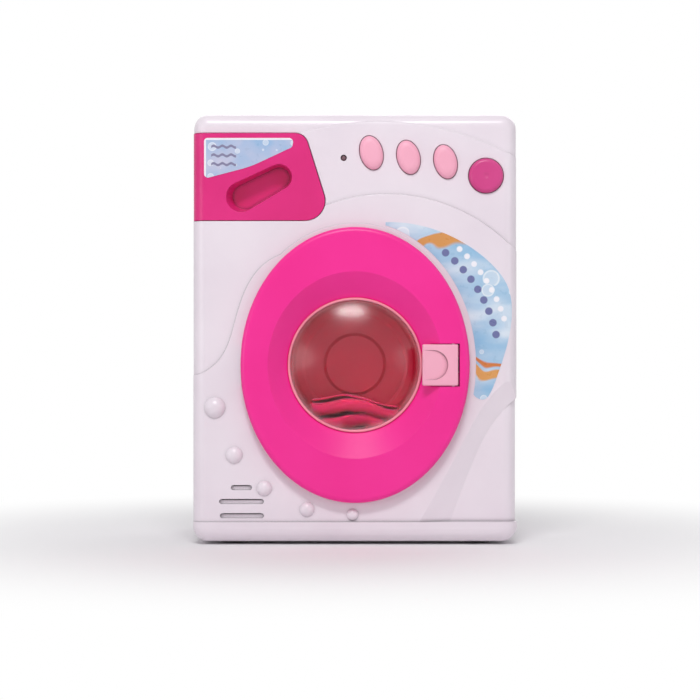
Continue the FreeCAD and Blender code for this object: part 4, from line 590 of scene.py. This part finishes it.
def folded_column(x, low, high, bowl):
    """Points of the cloth in one upright plane: layers from the drum's wall up, joined by round bends."""
    margin = CLOTH_THICKNESS + CLOTH_CRUMPLE
    middle = (low.x + high.x) / 2
    foot = low.z + margin + bowl - math.sqrt(bowl ** 2 - (x - middle) ** 2)
    top = high.z - margin
    top -= LOW_END * max(0.0, x - middle - LOW_END_START * (high.x - middle))
    levels = []
    for layer in range(CLOTH_LAYERS):
        roll = (layer + 1) // 2
        wander = FOLD_WANDER * math.sin(FOLD_WAVES * x + FOLD_LAG * roll)
        lift = layer + 0.5 + wander + ROLL_FULLNESS * (0.5 if layer % 2 == 0 else -0.5)
        levels.append(foot + (top - foot) * lift / CLOTH_LAYERS)
    points = []
    for layer, level in enumerate(levels):
        reach = UNEVEN_REACH * (1.0 + math.sin(UNEVEN_WAVES * x + UNEVEN_LAG * layer))
        ends = [low.y + margin + reach, high.y - margin - reach]
        if layer % 2:
            ends.reverse()
        after = levels[min(layer + 1, CLOTH_LAYERS - 1)]
        bend = (after - level) / 2
        side = 1 if ends[1] > ends[0] else -1
        start, stop = ends[0] + side * BEND_REACH, ends[1] - side * BEND_REACH
        for step in range(CLOTH_STEPS):
            points.append(Vector((x, start + (stop - start) * step / (CLOTH_STEPS - 1), level)))
        if layer + 1 < CLOTH_LAYERS:
            for step in range(1, BEND_STEPS + 1):
                swing = math.pi * step / (BEND_STEPS + 1)
                out = side * BEND_REACH * math.sin(swing)
                points.append(Vector((x, stop + out, level + bend * (1 - math.cos(swing)))))
    return points


def crumpled(point):
    """A point of the cloth moved by soft large and small creases."""
    crease = noise.noise_vector(point * LARGE_CREASES)
    crease = crease + SMALL_CREASE_SHARE * noise.noise_vector(point * SMALL_CREASES)
    return point + crease * CLOTH_CRUMPLE / (1.0 + SMALL_CREASE_SHARE)


def mean_length(lines):
    return sum((b - a).length for line in lines for a, b in zip(line, line[1:])) / len(lines)


def folded_cloth():
    """Small cloth folded to and fro in the bottom of the drum, with creases."""
    noise.seed_set(CREASE_SEED)
    low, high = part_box("laundry")
    drum_low, drum_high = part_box("drum")
    bowl = (drum_low.z + drum_high.z) / 2 - low.z
    margin = CLOTH_THICKNESS + CLOTH_CRUMPLE
    span = high.x - low.x - 2 * margin
    places = [low.x + margin + span * column / (CLOTH_COLUMNS - 1) for column in range(CLOTH_COLUMNS)]
    columns = [[crumpled(point) for point in folded_column(x, low, high, bowl)] for x in places]
    width = mean_length(list(zip(*columns)))
    length = mean_length(columns)
    rows = len(columns[0])
    mesh = bpy.data.meshes.new("laundry_cloth")
    sheet = bmesh.new()
    flat = sheet.loops.layers.uv.new("flat")
    grid = [[sheet.verts.new(point) for point in column] for column in columns]
    for column in range(CLOTH_COLUMNS - 1):
        for row in range(rows - 1):
            spots = ((column, row), (column + 1, row), (column + 1, row + 1), (column, row + 1))
            face = sheet.faces.new([grid[a][b] for a, b in spots])
            face.smooth = True
            for loop, (a, b) in zip(face.loops, spots):
                loop[flat].uv = (width * a / (CLOTH_COLUMNS - 1), length * b / (rows - 1))
    sheet.to_mesh(mesh)
    sheet.free()
    cloth = bpy.data.objects.new("laundry_cloth", mesh)
    bpy.context.scene.collection.objects.link(cloth)
    mesh.materials.append(FINISHES["laundry_cloth"])
    cloth.modifiers.new("thickness", "SOLIDIFY").thickness = CLOTH_THICKNESS
    smooth = cloth.modifiers.new("smooth", "SUBSURF")
    smooth.levels = smooth.render_levels = 1
    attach(cloth, "drum")
    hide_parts("laundry")


def background_rays(tree):
    """1 for rays that show the background: straight from the camera, mirrored or through glass."""
    path = tree.nodes.new("ShaderNodeLightPath").outputs
    total = path["Is Camera Ray"]
    for name in ("Is Glossy Ray", "Is Transmission Ray"):
        node = tree.nodes.new("ShaderNodeMath")
        node.operation = "ADD"
        node.use_clamp = True
        tree.links.new(total, node.inputs[0])
        tree.links.new(path[name], node.inputs[1])
        total = node.outputs["Value"]
    return total


def backdrop():
    """Pale floor that sweeps up into a wall behind the object and turns white away from it."""
    profile = [(FLOOR_FRONT, 0.0), (0.0, 0.0)]
    for step in range(WALL_STEPS + 1):
        swing = math.pi / 2 * step / WALL_STEPS
        out, up = math.sin(swing), 1 - math.cos(swing)
        profile.append((WALL_START + WALL_RADIUS * out, WALL_RADIUS * up))
    profile.append((WALL_START + WALL_RADIUS, WALL_TOP))
    vertices = [(side * FLOOR_HALF_WIDTH, y, z) for y, z in profile for side in (-1, 1)]
    faces = [(2 * i, 2 * i + 1, 2 * i + 3, 2 * i + 2) for i in range(len(profile) - 1)]
    mesh = bpy.data.meshes.new("backdrop")
    mesh.from_pydata(vertices, [], faces)
    mesh.shade_smooth()
    m = Nodes("backdrop")
    m.drive(
        Base_Color=m.ramp(m.noise(scale=1.5), (0.3, srgb(238, 237, 238)), (0.7, srgb(244, 243, 244))),
        Roughness=0.8,
    )
    glow = m.add("ShaderNodeEmission")
    x, y, _ = m.axes()
    away = m.length(x, y)
    far = m.within(away, WHITE_FROM, BEYOND, WHITE_SOFTNESS)
    either = m.add("ShaderNodeMixShader")
    m.feed(either.inputs["Fac"], m.math("MULTIPLY", far, background_rays(m.tree)))
    m.feed(either.inputs[1], m.shader.outputs["BSDF"])
    m.feed(either.inputs[2], glow.outputs["Emission"])
    m.feed(m.output.inputs["Surface"], either.outputs["Shader"])
    mesh.materials.append(m.material)
    floor = bpy.data.objects.new("backdrop", mesh)
    bpy.context.scene.collection.objects.link(floor)


def softbox(name, place, target, size, power):
    lamp = bpy.data.lights.new(name, "AREA")
    lamp.shape = "ELLIPSE"
    lamp.size, lamp.size_y = size
    lamp.energy = power
    box = bpy.data.objects.new(name, lamp)
    box.location = place
    box.rotation_euler = (target - Vector(place)).to_track_quat("-Z", "Y").to_euler()
    bpy.context.scene.collection.objects.link(box)


def studio():
    low, high = CAD_BOX
    middle = (low + high) / 2
    for name, place, size, power in LAMPS:
        softbox(name, place, middle, size, power)
    world = bpy.data.worlds.new("studio")
    world.use_nodes = True
    tree = world.node_tree
    sky = tree.nodes["Background"]
    sky.inputs["Color"].default_value = srgb(250, 249, 252)
    sky.inputs["Strength"].default_value = SKY_STRENGTH
    white = tree.nodes.new("ShaderNodeBackground")
    white.inputs["Color"].default_value = WHITE
    either = tree.nodes.new("ShaderNodeMixShader")
    tree.links.new(background_rays(tree), either.inputs["Fac"])
    tree.links.new(sky.outputs["Background"], either.inputs[1])
    tree.links.new(white.outputs["Background"], either.inputs[2])
    tree.links.new(either.outputs["Shader"], tree.nodes["World Output"].inputs["Surface"])
    bpy.context.scene.world = world


def photo_camera():
    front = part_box("drawer_front")[0].y
    lens = bpy.data.cameras.new("photo_camera")
    lens.sensor_width = SENSOR_MM
    lens.lens = SENSOR_MM * CAMERA_DISTANCE / VIEW_WIDTH
    camera = bpy.data.objects.new("photo_camera", lens)
    camera.location = (VIEW_CENTRE_X, front - CAMERA_DISTANCE, VIEW_CENTRE_Z)
    camera.rotation_euler = (math.pi / 2, 0.0, 0.0)
    bpy.context.scene.collection.objects.link(camera)
    bpy.context.scene.camera = camera


folded_cloth()
backdrop()
studio()
photo_camera()
bpy.context.scene.view_settings.view_transform = "Standard"
